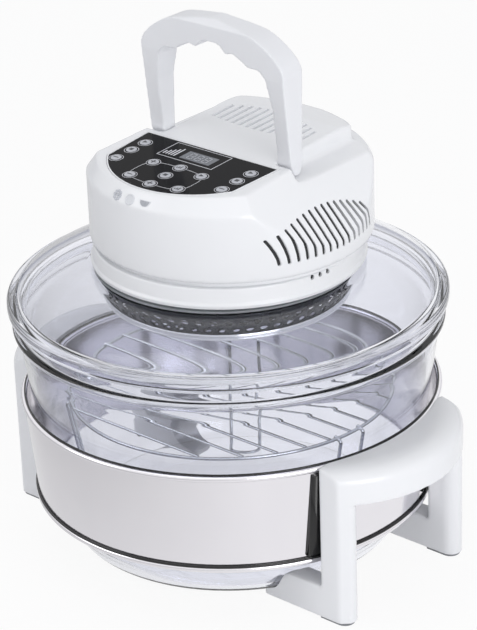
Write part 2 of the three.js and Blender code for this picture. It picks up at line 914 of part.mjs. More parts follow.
function headBody(inset, bottom) {
  const shift = inset * Math.hypot(1, chamferSlope);
  const knee = chamferLow - (shift - inset) / chamferSlope;
  const round = atHead(
    lathe([
      [0, bottom],
      [headRadius - inset, bottom],
      [headRadius - inset, knee],
      [headRadius - shift - chamferSlope * (headCeiling - chamferLow), headCeiling],
      [0, headCeiling],
    ]),
  );
  const sideAt = (height) =>
    sideAtLedge + sideLean * (ledgeHeight - height) - inset * Math.hypot(1, sideLean);
  const sides = pushAlongY(
    [
      [-sideAt(bottom), bottom],
      [sideAt(bottom), bottom],
      [sideAt(headCeiling), headCeiling],
      [-sideAt(headCeiling), headCeiling],
    ],
    -2 * headRadius,
    2 * headRadius,
  );
  const back = headCentre + headRadius;
  const top = pushAlongX(
    [
      [-back, bottom],
      [back, bottom],
      [back, topAt(creaseAt) - backSlopeDrop - inset],
      [creaseAt, topAt(creaseAt) - inset],
      [-back, topAt(-back) - inset],
    ],
    -headRadius,
    headRadius,
  );
  const half = blockHalf - inset;
  const backRadius = blockBackRadius - inset;
  const blockEnd = Math.acos(half / backRadius);
  const rear = new THREE.Shape();
  rear.moveTo(-half, ledgeStart - inset - overrun);
  rear.lineTo(half, ledgeStart - inset - overrun);
  rear.absarc(0, headCentre, backRadius, blockEnd, Math.PI - blockEnd, false);
  const ledge = cut(
    join(
      block(
        -headRadius - overrun,
        headRadius + overrun,
        ledgeStart - inset,
        back + overrun,
        ledgeHeight - inset,
        headCeiling + overrun,
      ),
    ),
    extrude(rear, headCeiling - ledgeHeight + inset + 2 * overrun)
      .translate(0, 0, ledgeHeight - inset - overrun),
  );
  return toSolid(round).intersect(toSolid(sides)).intersect(toSolid(top)).subtract(ledge);
}

const onPanel = (geometry) => geometry.rotateX(panelTilt).translate(0, panelRear, panelHeight);

function panelShape(inset) {
  const radius = panelArcRadius - inset;
  const reach = Math.acos((panelFrontHalf - inset) / radius);
  const shape = new THREE.Shape();
  shape.moveTo(panelRearHalf - inset, -inset);
  shape.lineTo(-panelRearHalf + inset, -inset);
  shape.absarc(0, panelArcRadius - panelFront, radius, -Math.PI + reach, -reach, false);
  return shape;
}

const seatDepth = panelThickness + clearance;
const panelRecess = onPanel(extrude(panelShape(-clearance), seatDepth + overrun).translate(0, 0, -seatDepth));
const panelAperture = onPanel(extrude(panelShape(panelSeat), 2 * headWall).translate(0, 0, -2 * headWall));
const dialCentre = dialMiddle[0];
const keyPlaces = [
  ...sideKeyRows.map((row) => [-sideKeyColumn, row]),
  [dialCentre - dialSide, dialUpperRow],
  [dialCentre, dialTop],
  [dialCentre + dialSide, dialUpperRow],
  dialMiddle,
  [dialCentre - dialSide, dialLowerRow],
  [dialCentre, dialBottom],
  [dialCentre + dialSide, dialLowerRow],
  ...sideKeyRows.map((row) => [sideKeyColumn, row]),
];
const keyRooms = keyPlaces.map(([x, row]) =>
  onPanel(
    disc(keyRadius + keyFlange + clearance, -2 * headWall, 0, keySides).translate(x, -row, 0),
  ),
);
const frontBossRadius = panelArcRadius - panelSeat / 2;
const bossPlaces = [
  [rearBossAt, rearBossReach],
  [-rearBossAt, rearBossReach],
  ...[1, -1].map((side) => [
    side * frontBossRadius * Math.sin(frontBossAngle),
    panelArcRadius - panelFront - frontBossRadius * Math.cos(frontBossAngle),
  ]),
];
const boardBosses = bossPlaces.map(([x, y]) =>
  onPanel(disc(bossRadius, -boardDepth + clearance, -seatDepth - clearance, keySides).translate(x, y, 0)),
);

const sideSlots = [];
for (let i = 0; i < sideSlotCount; i += 1) {
  const step = i - (sideSlotCount - 1) / 2;
  const share = (2 * step) / (sideSlotCount - 1);
  const foot = sideSlotMiddle + step * sideSlotPitch;
  const head = foot - sideSlotLean - sideSlotEndLean * share ** 2;
  const high = sideSlotHigh - sideSlotHighDrop * share ** 2;
  const half = sideSlotWidth / 2;
  const slot = [
    [foot - half, sideSlotLow],
    [foot + half, sideSlotLow],
    [head + half, high],
    [head - half, high],
  ];
  sideSlots.push(pushAlongX(slot, sideSlotInner, headRadius + overrun));
  sideSlots.push(pushAlongX(slot, -headRadius - overrun, -sideSlotInner));
}
const topSlots = Array.from({ length: topSlotCount }, (_, i) => {
  const step = i - (topSlotCount - 1) / 2;
  const share = ((2 * step) / (topSlotCount - 1)) ** 2;
  const x = step * topSlotPitch;
  return block(
    x - topSlotWidth / 2,
    x + topSlotWidth / 2,
    topSlotFront + topSlotFrontRise * share,
    topSlotBack - topSlotBackDrop * share,
    ledgeHeight,
    headCeiling,
  );
});

const chamferLean = Math.atan(1 / chamferSlope);
const chamferMiddle = (chamferLow + chamferTop) / 2;
const chamferRadius = (headRadius + chamferTopRadius) / 2;
// Turns something built along +Z so that it stands on the front chamfer at the given angle
const onChamfer = (geometry, angle) =>
  atHead(
    geometry
      .rotateX(chamferLean)
      .translate(0, -chamferRadius, chamferMiddle)
      .rotateZ(angle),
  );

function lensShape(index, swell) {
  const radius = lensRadius + swell;
  const shape = new THREE.Shape();
  if (index < lensAngles.length - 1) {
    shape.absarc(0, 0, radius, 0, fullTurn, false);
  } else {
    shape.moveTo(-radius, radius / 2);
    shape.absarc(0, radius / 2, radius, Math.PI, fullTurn, false);
  }
  return shape;
}
const lensBody = (index, swell, low, high) =>
  onChamfer(
    new THREE.ExtrudeGeometry(lensShape(index, swell), {
      depth: high - low,
      bevelEnabled: false,
      curveSegments: keySides,
    }).translate(0, 0, low),
    lensAngles[index],
  );
const lensHoles = lensAngles.map((_, i) => lensBody(i, clearance, -2 * headWall, overrun));
const pinHoles = [1, -1].map((side) =>
  disc(pinRadius + clearance, blockHalf - 2 * headWall, blockHalf + overrun, plainSides)
    .rotateY(side * quarterTurn)
    .translate(0, hingeAt, hingeHeight),
);
const switchAt = -(handleFootInner + handleFootOuter) / 2;
const plungerHole = disc(plungerRadius + clearance, ledgeHeight - 2 * headWall, headCeiling, keySides)
  .translate(switchAt, hingeAt, 0);
const switchRibs = [1, -1].map((side) => {
  const face = switchLength / 2 + clearance;
  return block(
    switchAt - switchWidth / 2,
    switchAt + switchWidth / 2,
    -switchRib / 2,
    switchRib / 2,
    ledgeHeight - headWall - switchRibDrop,
    ledgeHeight - headWall / 2,
  ).translate(0, hingeAt + side * (face + switchRib / 2), 0);
});
const glandHole = radialRod(
  glandNeck + clearance,
  headRadius - 2 * headWall,
  headRadius + overrun,
  glandHeight,
  quarterTurn,
);
const notch = block(
  headRadius - 2 * headWall,
  headRadius + overrun,
  -notchWidth / 2,
  notchWidth / 2,
  headBottom - overrun,
  headBottom + notchHeight,
).rotateZ(notchAngle - quarterTurn);

const headShell = headBody(0, headBottom).subtract(headBody(headWall, headBottom - overrun));
const headWithRecess = cut(headShell, panelRecess, panelAperture, ...keyRooms)
  .add(join(...boardBosses))
  .add(join(...switchRibs));
addPart(
  'main_housing',
  cut(
    headWithRecess,
    ...sideSlots,
    ...topSlots,
    ...lensHoles,
    ...pinHoles,
    plungerHole,
    atHead(glandHole),
    atHead(notch),
  ),
  whitePlastic,
);
lensAngles.forEach((_, i) => {
  addPart(`indicator_lens_${i + 1}`, lensBody(i, 0, lensRise - lensDepth, lensRise), iconGrey);
});

// Control panel with its keys, window, display and board, built flat and tilted together

const panelGroup = new THREE.Group();
panelGroup.position.set(0, panelRear, panelHeight);
panelGroup.rotation.x = panelTilt;
oven.add(panelGroup);

const keyHoles = keyPlaces.map(([x, row]) =>
  disc(keyRadius + clearance, -overrun, overrun, keySides).translate(x, -row, 0),
);
const windowHole = block(
  windowLeft - clearance,
  windowRight + clearance,
  -windowFront - clearance,
  -windowRear + clearance,
  -overrun,
  overrun,
);
const panelPlate = extrude(panelShape(0), panelThickness).translate(0, 0, -panelThickness);
addPart('control_panel', cut(toSolid(panelPlate), ...keyHoles, windowHole), panelBlack, panelGroup);
addPart(
  'lcd_window',
  block(windowLeft, windowRight, -windowFront, -windowRear, -panelThickness, 0),
  displayGrey,
  panelGroup,
);
addPart(
  'display_module',
  block(
    windowLeft - displayMargin,
    windowRight + displayMargin,
    -windowFront - displayMargin,
    -windowRear + displayMargin,
    -boardDepth + clearance,
    -panelThickness - clearance,
  ),
  displayGrey,
  panelGroup,
);

const keyFlangeTop = -panelThickness - keyFlangeGap;
keyPlaces.forEach(([x, row], i) => {
  const key = lathe(
    [
      [0, -keyStemLength],
      [keyStemRadius, -keyStemLength],
      [keyStemRadius, keyFlangeTop - keyFlangeHeight],
      [keyRadius + keyFlange, keyFlangeTop - keyFlangeHeight],
      [keyRadius + keyFlange, keyFlangeTop],
      [keyRadius, keyFlangeTop],
      [keyRadius, keyRise],
      [0, keyRise],
    ],
    keySides,
  );
  const name = `key_${String(i + 1).padStart(2, '0')}`;
  addPart(name, key, keySilver, panelGroup).position.set(x, -row, 0);
});

const boardTop = -boardDepth;
const switchTop = -keyStemLength - keyTravel - plungerRest;
const keySwitches = keyPlaces.map(([x, row]) =>
  block(
    x - switchSize / 2,
    x + switchSize / 2,
    -row - switchSize / 2,
    -row + switchSize / 2,
    boardTop - boardThickness / 2,
    switchTop,
  ),
);
const boardPlate = extrude(panelShape(boardInset), boardThickness).translate(0, 0, boardTop - boardThickness);
const boardTab = block(
  -boardTabHalf,
  boardTabHalf,
  -boardTabReach,
  boardTabReach,
  boardTop - boardThickness,
  boardTop,
);
addPart('circuit_board', join(boardPlate, boardTab, ...keySwitches), boardGreen, panelGroup);

// Carry handle: a bail on two pins, with finger scallops under the grip and a cam round each pin

// Shares of the handle's half width and height
const gripUndersideShares = [
  [0.667, 0.712],
  [0.511, 0.754],
  [0.418, 0.759],
  [0.312, 0.786],
  [0.142, 0.833],
  [0, 0.824],
];
const gripOutsideShares = [
  [1.007, 0.712],
  [0.959, 0.777],
  [0.851, 0.842],
  [0.624, 0.935],
  [0.326, 0.97],
];
const atShares = ([across, up]) => [across * handleFootOuter, up * handleTop];
const gripUnderside = gripUndersideShares.map(atShares);
const gripOutside = gripOutsideShares.map(atShares);
const rightHalf = [
  [0, handleTop],
  ...[...gripOutside].reverse(),
  [handleFootOuter, handleShoulder],
  [handleFootOuter, -camFolded - overrun],
  [handleFootInner, -camFolded - overrun],
  [handleFootInner, handleStraight],
  [handleShoulderInner, handleShoulder],
  ...gripUnderside,
];
const leftHalf = rightHalf
  .slice(1, -1)
  .reverse()
  .map(([x, z]) => [-x, z]);
const camOutline = [];
for (let i = 0; i <= camSteps; i += 1) {
  const angle = (i / camSteps) * quarterTurn;
  const radius = camRest + ((camFolded - camRest) * angle) / foldAngle;
  camOutline.push([radius * Math.sin(angle), -radius * Math.cos(angle)]);
}
const sideOutline = [
  ...camOutline,
  [footHalf, footRise],
  [handleBackTop, handleShoulder],
  [handleBackTop, handleTop - footRise],
  [handleBackTop - footRise, handleTop + overrun],
  [-handleFrontTop + footRise, handleTop + overrun],
  [-handleFrontTop, handleTop - footRise],
  [-handleFrontTop, handleShoulder],
  [-footHalf, footRise],
  [-camRest, 0],
  [-camRest * Math.SQRT1_2, -camRest * Math.SQRT1_2],
];
const handleBores = [1, -1].map((side) =>
  disc(pinRadius + clearance, handleFootInner - overrun, pinOuter + clearance, plainSides)
    .rotateY(side * quarterTurn),
);
const bailReach = gripOutside[0][0] + overrun;
const bail = toSolid(
  pushAlongY([...rightHalf, ...leftHalf], -handleFrontTop - overrun, handleBackTop + overrun),
).intersect(toSolid(pushAlongX(sideOutline, -bailReach, bailReach)));
addPart('carry_handle', cut(bail, ...handleBores), whitePlastic).position.set(0, hingeAt, hingeHeight);

['right', 'left'].forEach((name, i) => {
  const side = i === 0 ? 1 : -1;
  const pin = disc(pinRadius, pinInner, pinOuter, plainSides).rotateY(side * quarterTurn);
  addPart(`${name}_hinge_pin`, pin, polishedSteel).position.set(0, hingeAt, hingeHeight);
});

const plungerTop = hingeHeight - camRest - plungerGap;
const plungerBottom = plungerTop - plungerLength;
addPart(
  'switch_plunger',
  disc(plungerRadius, plungerBottom, plungerTop, keySides).translate(switchAt, hingeAt, 0),
  greyRubber,
);
const microSwitchTop = plungerBottom - (camFolded - camRest) - plungerRest;
addPart(
  'micro_switch',
  block(
    switchAt - switchWidth / 2,
    switchAt + switchWidth / 2,
    hingeAt - switchLength / 2,
    hingeAt + switchLength / 2,
    microSwitchTop - switchHeight,
    microSwitchTop,
  ),
  panelBlack,
);

// Motor on its crossed bracket, shaft and two fans

const hatProfile = [
  [-bracketFoot, bracketLow],
  [-bracketLegInner - bracketLegSplay, bracketLow],
  [-bracketLegInner, bracketTop - bracketSheet],
  [bracketLegInner, bracketTop - bracketSheet],
  [bracketLegInner + bracketLegSplay, bracketLow],
  [bracketFoot, bracketLow],
  [bracketFoot, bracketLow + bracketSheet],
  [bracketLegInner + bracketLegSplay + bracketSheet, bracketLow + bracketSheet],
  [bracketLegInner + bracketSheet, bracketTop],
  [-bracketLegInner - bracketSheet, bracketTop],
  [-bracketLegInner - bracketLegSplay - bracketSheet, bracketLow + bracketSheet],
  [-bracketFoot, bracketLow + bracketSheet],
];
const bridges = [1, -1].map((side) =>
  pushAlongY(hatProfile, -bracketWidth / 2, bracketWidth / 2).rotateZ((side * quarterTurn) / 2),
);
addPart(
  'motor_bracket',
  cut(
    join(...bridges),
    disc(shaftHole, bracketTop - 2 * bracketSheet, bracketTop + overrun, plainSides),
    ...clampRods(screwShankRadius + clearance, bracketLow - overrun, bracketLow + 2 * bracketSheet),
  ),
  alloy,
);

const shaftTop = shaftLow + shaftLength;
addPart(
  'motor',
  lathe(
    [
      [shaftRadius + clearance, motorLow],
      [motorRadius, motorLow],
      [motorRadius, motorLow + motorHeight],
      [motorCapRadius, motorLow + motorHeight],
      [motorCapRadius, motorLow + motorHeight + motorCapHeight],
      [0, motorLow + motorHeight + motorCapHeight],
      [0, shaftTop + clearance],
      [shaftRadius + clearance, shaftTop + clearance],
      [shaftRadius + clearance, motorLow],
    ],
    plainSides,
  ),
  alloy,
);
addPart('motor_shaft', disc(shaftRadius, shaftLow, shaftTop, plainSides), polishedSteel);

const shaftRoom = disc(shaftRadius + clearance, shaftLow - overrun, shaftTop, plainSides);
const hotVanes = Array.from({ length: hotFanVanes }, (_, i) =>
  block(
    hubRadius - overrun,
    hotFanRadius,
    -bladeThickness / 2,
    bladeThickness / 2,
    hotFanLow,
    hotFanLow + hotFanHeight,
  ).rotateZ((i * fullTurn) / hotFanVanes),
);
addPart(
  'hot_air_fan',
  cut(
    join(
      disc(hubRadius, hotFanLow, hotFanLow + hotFanHeight, plainSides),
      disc(hotFanRadius, hotFanLow + hotFanHeight - fanDisc, hotFanLow + hotFanHeight),
      ...hotVanes,
    ),
    shaftRoom,
  ),
  alloy,
);
const coolBlades = Array.from({ length: coolFanBlades }, (_, i) =>
  block(
    hubRadius - overrun,
    coolFanRadius,
    -bladeThickness / 2,
    bladeThickness / 2,
    -coolFanHeight / 2,
    coolFanHeight / 2,
  )
    .rotateX(bladePitch)
    .translate(0, 0, coolFanLow + coolFanHeight / 2)
    .rotateZ((i * fullTurn) / coolFanBlades),
);
addPart(
  'cooling_fan',
  cut(
    join(disc(hubRadius, coolFanLow, coolFanLow + coolFanHeight, plainSides), ...coolBlades),
    shaftRoom,
  ),
  whitePlastic,
);

addPart(
  'thermostat',
  disc(thermostatRadius, floorTop + clearance, floorTop + clearance + thermostatHeight, plainSides)
    .translate(0, -thermostatAt, 0),
  panelBlack,
);

// Cord gland in the rear wall, gripping it from both sides

const glandPlay = glandFlange * Math.tan(Math.PI / ringSides);
const glandOuter = headRadius + clearance;
const glandInner = headRadius - headWall - clearance - glandPlay;
const gland = ring(
  [
    [glandBore, glandInner - glandLip],
    [glandFlange, glandInner - glandLip],
    [glandFlange, glandInner],
    [glandNeck, glandInner],
    [glandNeck, glandOuter],
    [glandFlange, glandOuter],
    [glandFlange, glandOuter + glandLip],
    [glandBore, glandOuter + glandLip],
  ],
  plainSides,
).rotateY(quarterTurn).rotateZ(quarterTurn).translate(0, headCentre, glandHeight);
addPart('cord_gland', gland, greyRubber);

export default oven;
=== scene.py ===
"""Studio scene of a round glass tabletop oven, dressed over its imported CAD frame.

Lengths are written in millimetres and turned to metres where Blender needs them.
"""

from __future__ import annotations

import json
import logging
import math
from dataclasses import dataclass, field
from enum import Enum
from typing import Any, Sequence

import bpy
from mathutils import Matrix, Vector

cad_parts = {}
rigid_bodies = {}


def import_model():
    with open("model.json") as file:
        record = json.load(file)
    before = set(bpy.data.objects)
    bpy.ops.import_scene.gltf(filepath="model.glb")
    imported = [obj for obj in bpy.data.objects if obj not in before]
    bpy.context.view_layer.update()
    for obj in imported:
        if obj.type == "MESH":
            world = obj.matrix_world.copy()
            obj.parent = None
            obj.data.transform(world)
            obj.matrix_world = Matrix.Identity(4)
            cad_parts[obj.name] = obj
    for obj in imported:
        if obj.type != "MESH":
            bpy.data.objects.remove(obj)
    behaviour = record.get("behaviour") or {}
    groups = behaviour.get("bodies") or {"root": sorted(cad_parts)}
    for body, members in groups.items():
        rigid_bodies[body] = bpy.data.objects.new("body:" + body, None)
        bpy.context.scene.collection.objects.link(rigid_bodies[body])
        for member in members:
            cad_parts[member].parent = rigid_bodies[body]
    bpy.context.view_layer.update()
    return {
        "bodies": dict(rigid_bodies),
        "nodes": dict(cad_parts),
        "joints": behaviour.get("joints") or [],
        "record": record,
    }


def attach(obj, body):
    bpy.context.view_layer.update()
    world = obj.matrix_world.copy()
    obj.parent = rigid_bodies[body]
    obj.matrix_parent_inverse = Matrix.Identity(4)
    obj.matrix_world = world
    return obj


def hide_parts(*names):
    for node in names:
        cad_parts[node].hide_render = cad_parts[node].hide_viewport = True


log = logging.getLogger("oven")

MM = 0.001
ROUND_STEPS = 128
GLASS_STEPS = 320
WELD = 0.004 * MM
SMOOTH_ANGLE = math.radians(32)
BEVEL_ANGLE = math.radians(40)
FAR = 200.0

Flat = tuple[float, float]
Point = tuple[float, float, float]
Piece = bpy.types.Object


class Body(Enum):
    """CAD bodies that the pieces ride on."""

    STAND = "stand"
    BOWL = "bowl"
    RACK = "rack"
    LID = "lid"
    HANDLE = "handle"


class Plane(Enum):
    """The plane that an outline is drawn in, and the axis that it is pushed along."""

    FLOOR = "xy"
    FRONT = "xz"
    SIDE = "yz"

    def at(self, across: float, up: float, level: float) -> Point:
        """Place a drawn point of this plane at the given level of its axis.

        Args:
            across: First drawn measure.
            up: Second drawn measure.
            level: Place along the plane's axis.

        Returns:
            The point in space.
        """
        return {
            Plane.FLOOR: (across, up, level),
            Plane.FRONT: (across, level, up),
            Plane.SIDE: (level, across, up),
        }[self]


class Join(Enum):
    """Boolean operations between two closed solids."""

    ADD = "UNION"
    CUT = "DIFFERENCE"
    KEEP_COMMON = "INTERSECT"


# Modelling by operators


def deselect_all() -> None:
    """Go back to object mode with nothing selected."""
    if bpy.context.object is not None and bpy.context.object.mode != "OBJECT":
        bpy.ops.object.mode_set(mode="OBJECT")
    bpy.ops.object.select_all(action="DESELECT")


def pick(piece: Piece) -> None:
    """Make one piece the only selected and active object.

    Args:
        piece: The piece.
    """
    deselect_all()
    piece.select_set(True)
    bpy.context.view_layer.objects.active = piece


def new_piece(name: str) -> Piece:
    """Name the object that an operator has just added.

    Args:
        name: Name of the piece and its mesh.

    Returns:
        The active object.
    """
    piece = bpy.context.active_object
    piece.name = name
    piece.data.name = name
    return piece


def draw(name: str, points: Sequence[Point]) -> Piece:
    """Draw an open line by extruding one vertex from point to point.

    Args:
        name: Name of the new piece.
        points: Corners of the line in millimetres.

    Returns:
        The piece, left in edit mode with its last vertex selected.
    """
    deselect_all()
    bpy.ops.mesh.primitive_plane_add(size=MM, location=(0, 0, 0))
    piece = new_piece(name)
    bpy.ops.object.mode_set(mode="EDIT")
    bpy.ops.mesh.select_mode(type="VERT")
    bpy.ops.mesh.select_all(action="SELECT")
    bpy.ops.mesh.merge(type="CENTER")
    here = Vector(points[0]) * MM
    bpy.ops.transform.translate(value=here)
    for point in points[1:]:
        there = Vector(point) * MM
        bpy.ops.mesh.extrude_region_move(TRANSFORM_OT_translate={"value": there - here})
        here = there
    return piece


def close_up(piece: Piece) -> Piece:
    """Weld the doubles, turn the faces outwards and shade a piece that is in edit mode.

    Args:
        piece: The piece in edit mode.

    Returns:
        The piece, in object mode.
    """
    bpy.ops.mesh.select_all(action="SELECT")
    bpy.ops.mesh.remove_doubles(threshold=WELD)
    bpy.ops.mesh.normals_make_consistent(inside=False)
    bpy.ops.object.mode_set(mode="OBJECT")
    smooth(piece)
    return piece


def smooth(piece: Piece, angle: float = SMOOTH_ANGLE) -> None:
    """Shade a piece smooth, keeping the edges sharper than the angle."""
    pick(piece)
    bpy.ops.object.shade_smooth_by_angle(angle=angle)


def turned(
    name: str, profile: Sequence[Flat], centre: Flat = (0.0, 0.0), steps: int = ROUND_STEPS
) -> Piece:
    """Spin a closed profile of radius and height round a vertical axis.

    Args:
        name: Name of the new piece.
        profile: Radius and height of each corner, in order round the section.
        centre: Where the axis stands on the floor.
        steps: Number of steps round the axis.

    Returns:
        The turned piece.
    """
    x, y = centre
    piece = draw(name, [(x + radius, y, height) for radius, height in [*profile, profile[0]]])
    bpy.ops.mesh.select_all(action="SELECT")
    bpy.ops.mesh.spin(
        steps=steps, angle=math.tau, center=(x * MM, y * MM, 0), axis=(0, 0, 1), dupli=False
    )
    return close_up(piece)


def pushed(name: str, outline: Sequence[Flat], low: float, high: float, plane: Plane = Plane.FLOOR) -> Piece:
    """Fill an outline with a face and extrude it to a solid.

    Args:
        name: Name of the new piece.
        outline: Corners of the outline in its plane.
        low: Level of the first face.
        high: Level of the second face.
        plane: The plane that the outline lies in.

    Returns:
        The solid piece.
    """
    piece = draw(name, [plane.at(across, up, low) for across, up in outline])
    bpy.ops.mesh.select_all(action="SELECT")
    bpy.ops.mesh.edge_face_add()
    travel = Vector(plane.at(0, 0, high - low)) * MM
    bpy.ops.mesh.extrude_region_move(TRANSFORM_OT_translate={"value": travel})
    return close_up(piece)


def rod(name: str, radius: float, start: Point, end: Point, sides: int = 24) -> Piece:
    """Add a cylinder between two points.

    Args:
        name: Name of the new piece.
        radius: Radius of the rod.
        start: Middle of its first end.
        end: Middle of its second end.
        sides: Number of sides.

    Returns:
        The rod, with its place in its mesh.
    """
    first, last = Vector(start) * MM, Vector(end) * MM
    along = last - first
    deselect_all()
    bpy.ops.mesh.primitive_cylinder_add(
        vertices=sides,
        radius=radius * MM,
        depth=along.length,
        location=(first + last) / 2,
        rotation=along.to_track_quat("Z", "Y").to_euler(),
    )
    piece = new_piece(name)
    settle(piece)
    smooth(piece)
    return piece


def wire(name: str, points: Sequence[Point], radius: float, closed: bool = False, sides: int = 3) -> Piece:
    """Draw a wire along a line and give it a round section.

    Args:
        name: Name of the new piece.
        points: Points along the middle of the wire.
        radius: Radius of the wire.
        closed: Whether the wire joins its own start.
        sides: Bevel resolution of the section.

    Returns:
        The wire as a mesh.
    """
    piece = draw(name, [*points, points[0]] if closed else points)
    bpy.ops.mesh.select_all(action="SELECT")
    bpy.ops.mesh.remove_doubles(threshold=WELD)
    bpy.ops.object.mode_set(mode="OBJECT")
    pick(piece)
    bpy.ops.object.convert(target="CURVE")
    piece = bpy.context.active_object
    piece.data.bevel_depth = radius * MM
    piece.data.bevel_resolution = sides
    piece.data.use_fill_caps = True
    bpy.ops.object.convert(target="MESH")
    piece = new_piece(name)
    smooth(piece, math.radians(60))
    return piece


def settle(piece: Piece) -> Piece:
    """Put the place, turn and scale of a piece into its mesh.

    Args:
        piece: The piece.

    Returns:
        The same piece.
    """
    pick(piece)
    bpy.ops.object.transform_apply(location=True, rotation=True, scale=True)
    return piece


def moved(piece: Piece, matrix: Matrix) -> Piece:
    """Move a piece by a matrix in metres and put its place into its mesh."""
    piece.matrix_world = matrix @ piece.matrix_world
    return settle(piece)


def copied(piece: Piece, name: str, matrix: Matrix) -> Piece:
    """Copy a piece with a mesh of its own and move the copy.

    Args:
        piece: The piece to copy.
        name: Name of the copy.
        matrix: Where the copy goes, in metres.

    Returns:
        The copy.
    """
    pick(piece)
    bpy.ops.object.duplicate(linked=False)
    twin = new_piece(name)
    return moved(twin, matrix)


def gathered(name: str, pieces: Sequence[Piece]) -> Piece:
    """Join several pieces into one object.

    Args:
        name: Name of the joined piece.
        pieces: The pieces to join.

    Returns:
        The joined piece.
    """
    deselect_all()
    for piece in pieces:
        piece.select_set(True)
    bpy.context.view_layer.objects.active = pieces[0]
    if len(pieces) > 1:
        bpy.ops.object.join()
    return new_piece(name)


def applied(piece: Piece, kind: str, **settings: Any) -> Piece:
    """Add a modifier with its settings to a piece and apply it.

    Args:
        piece: The piece.
        kind: Blender's name for the modifier type.
        settings: Values by attribute name.

    Returns:
        The changed piece.
    """
    pick(piece)
    change = piece.modifiers.new(kind.title(), kind)
    for key, value in settings.items():
        setattr(change, key, value)
    bpy.ops.object.modifier_apply(modifier=change.name)
    return piece


def combined(piece: Piece, tool: Piece, how: Join) -> Piece:
    """Apply a boolean operation and remove its tool.

    Args:
        piece: The piece that stays.
        tool: The solid that adds to it or cuts it.
        how: The operation.

    Returns:
        The changed piece.
    """
    applied(piece, "BOOLEAN", operation=how.value, solver="MANIFOLD", object=tool)
    bpy.data.objects.remove(tool, do_unlink=True)
    return piece


def bevelled(piece: Piece, width: float) -> Piece:
    """Round the sharp edges of a piece to a width in millimetres.

    Args:
        piece: The piece.
        width: Width of the bevel in millimetres.

    Returns:
        The bevelled piece.
    """
    applied(
        piece, "BEVEL", width=width * MM, segments=2, limit_method="ANGLE",
        angle_limit=BEVEL_ANGLE, use_clamp_overlap=True,
    )
    smooth(piece)
    return piece


def softened(piece: Piece, grain: float, rounds: int) -> Piece:
    """Give a moulded part its soft edges by remeshing it finely and relaxing the result.

    Args:
        piece: A closed solid.
        grain: Size of the remeshed faces.
        rounds: Number of relaxing rounds, which sets how soft the edges get.

    Returns:
        The softened piece.
    """
    applied(piece, "REMESH", mode="VOXEL", voxel_size=grain * MM, adaptivity=0)
    applied(piece, "SMOOTH", factor=0.5, iterations=rounds)
    bpy.ops.object.shade_smooth()
    return piece


def arc(centre: Flat, radius: float, start: float, end: float, steps: int) -> list[Flat]:
    """List points along an arc, both ends included.

    Args:
        centre: Centre of the arc.
        radius: Radius of the arc.
        start: First angle in degrees.
        end: Last angle in degrees.
        steps: Number of steps.

    Returns:
        The points in order.
    """
    angles = [math.radians(start + (end - start) * i / steps) for i in range(steps + 1)]
    return [(centre[0] + radius * math.cos(a), centre[1] + radius * math.sin(a)) for a in angles]


def rounded(corners: Sequence[tuple[float, float, float]], steps: int = 6) -> list[Flat]:
    """Fillet the corners of a closed outline.

    Args:
        corners: Place and fillet radius of each corner.
        steps: Steps in each fillet.

    Returns:
        The outline with its fillets.
    """
    points: list[Flat] = []
    for i, (x, y, radius) in enumerate(corners):
        corner = Vector((x, y))
        before = Vector(corners[i - 1][:2]) - corner
        after = Vector(corners[(i + 1) % len(corners)][:2]) - corner
        turn = math.pi - before.angle(after, math.pi)
        if radius <= 0 or turn < 0.02:
            points.append((x, y))
            continue
        reach = min(radius * math.tan(turn / 2), before.length * 0.49, after.length * 0.49)
        radius = reach / math.tan(turn / 2)
        middle = corner + (before.normalized() + after.normalized()).normalized() * (
            radius / math.cos(turn / 2)
        )
        first = corner + before.normalized() * reach - middle
        swing = first.angle_signed(corner + after.normalized() * reach - middle)
        for step in range(steps + 1):
            spoke = first.copy()
            spoke.rotate(Matrix.Rotation(-swing * step / steps, 2))
            points.append(tuple(middle + spoke))
    return points


# Materials


def linear(code: str) -> tuple[float, float, float, float]:
    """Turn an sRGB hex colour into linear red, green, blue and alpha.

    Args:
        code: Six hex digits.

    Returns:
        The linear colour.
    """
    shares = [int(code[i : i + 2], 16) / 255 for i in (0, 2, 4)]
    light = [s / 12.92 if s <= 0.04045 else ((s + 0.055) / 1.055) ** 2.4 for s in shares]
    return (light[0], light[1], light[2], 1.0)


def add_node(tree: bpy.types.NodeTree, kind: str, inputs: dict[str, Any]) -> Any:
    """Add a node, set its values and link what feeds it.

    Args:
        tree: The node tree.
        kind: Blender's name for the node type, without its ShaderNode.
        inputs: Values and feeding sockets, by attribute name or by socket name or number.

    Returns:
        The node.
    """
    node = tree.nodes.new("ShaderNode" + kind)
    for key, value in inputs.items():
        if hasattr(node, key):
            setattr(node, key, value)
            continue
        socket = node.inputs[int(key) if key.isdigit() else key]
        if isinstance(value, bpy.types.NodeSocket):
            tree.links.new(value, socket)
        else:
            socket.default_value = value
    return node


def fresh_tree(owner: bpy.types.Material | bpy.types.World) -> bpy.types.NodeTree:
    """Turn on the nodes of a material or world and empty its tree.

    Args:
        owner: The material or world.

    Returns:
        Its empty tree.
    """
    owner.use_nodes = True
    owner.node_tree.nodes.clear()
    return owner.node_tree


def noise(tree: bpy.types.NodeTree, place: Any, scale: float, detail: float) -> Any:
    """Add a noise over the object.

    Args:
        tree: The node tree.
        place: Socket with the coordinates.
        scale: Scale of the noise per metre.
        detail: Number of finer layers.

    Returns:
        The socket with the noise's strength.
    """
    return add_node(tree, "TexNoise", {"Vector": place, "Scale": scale, "Detail": detail}).outputs["Fac"]


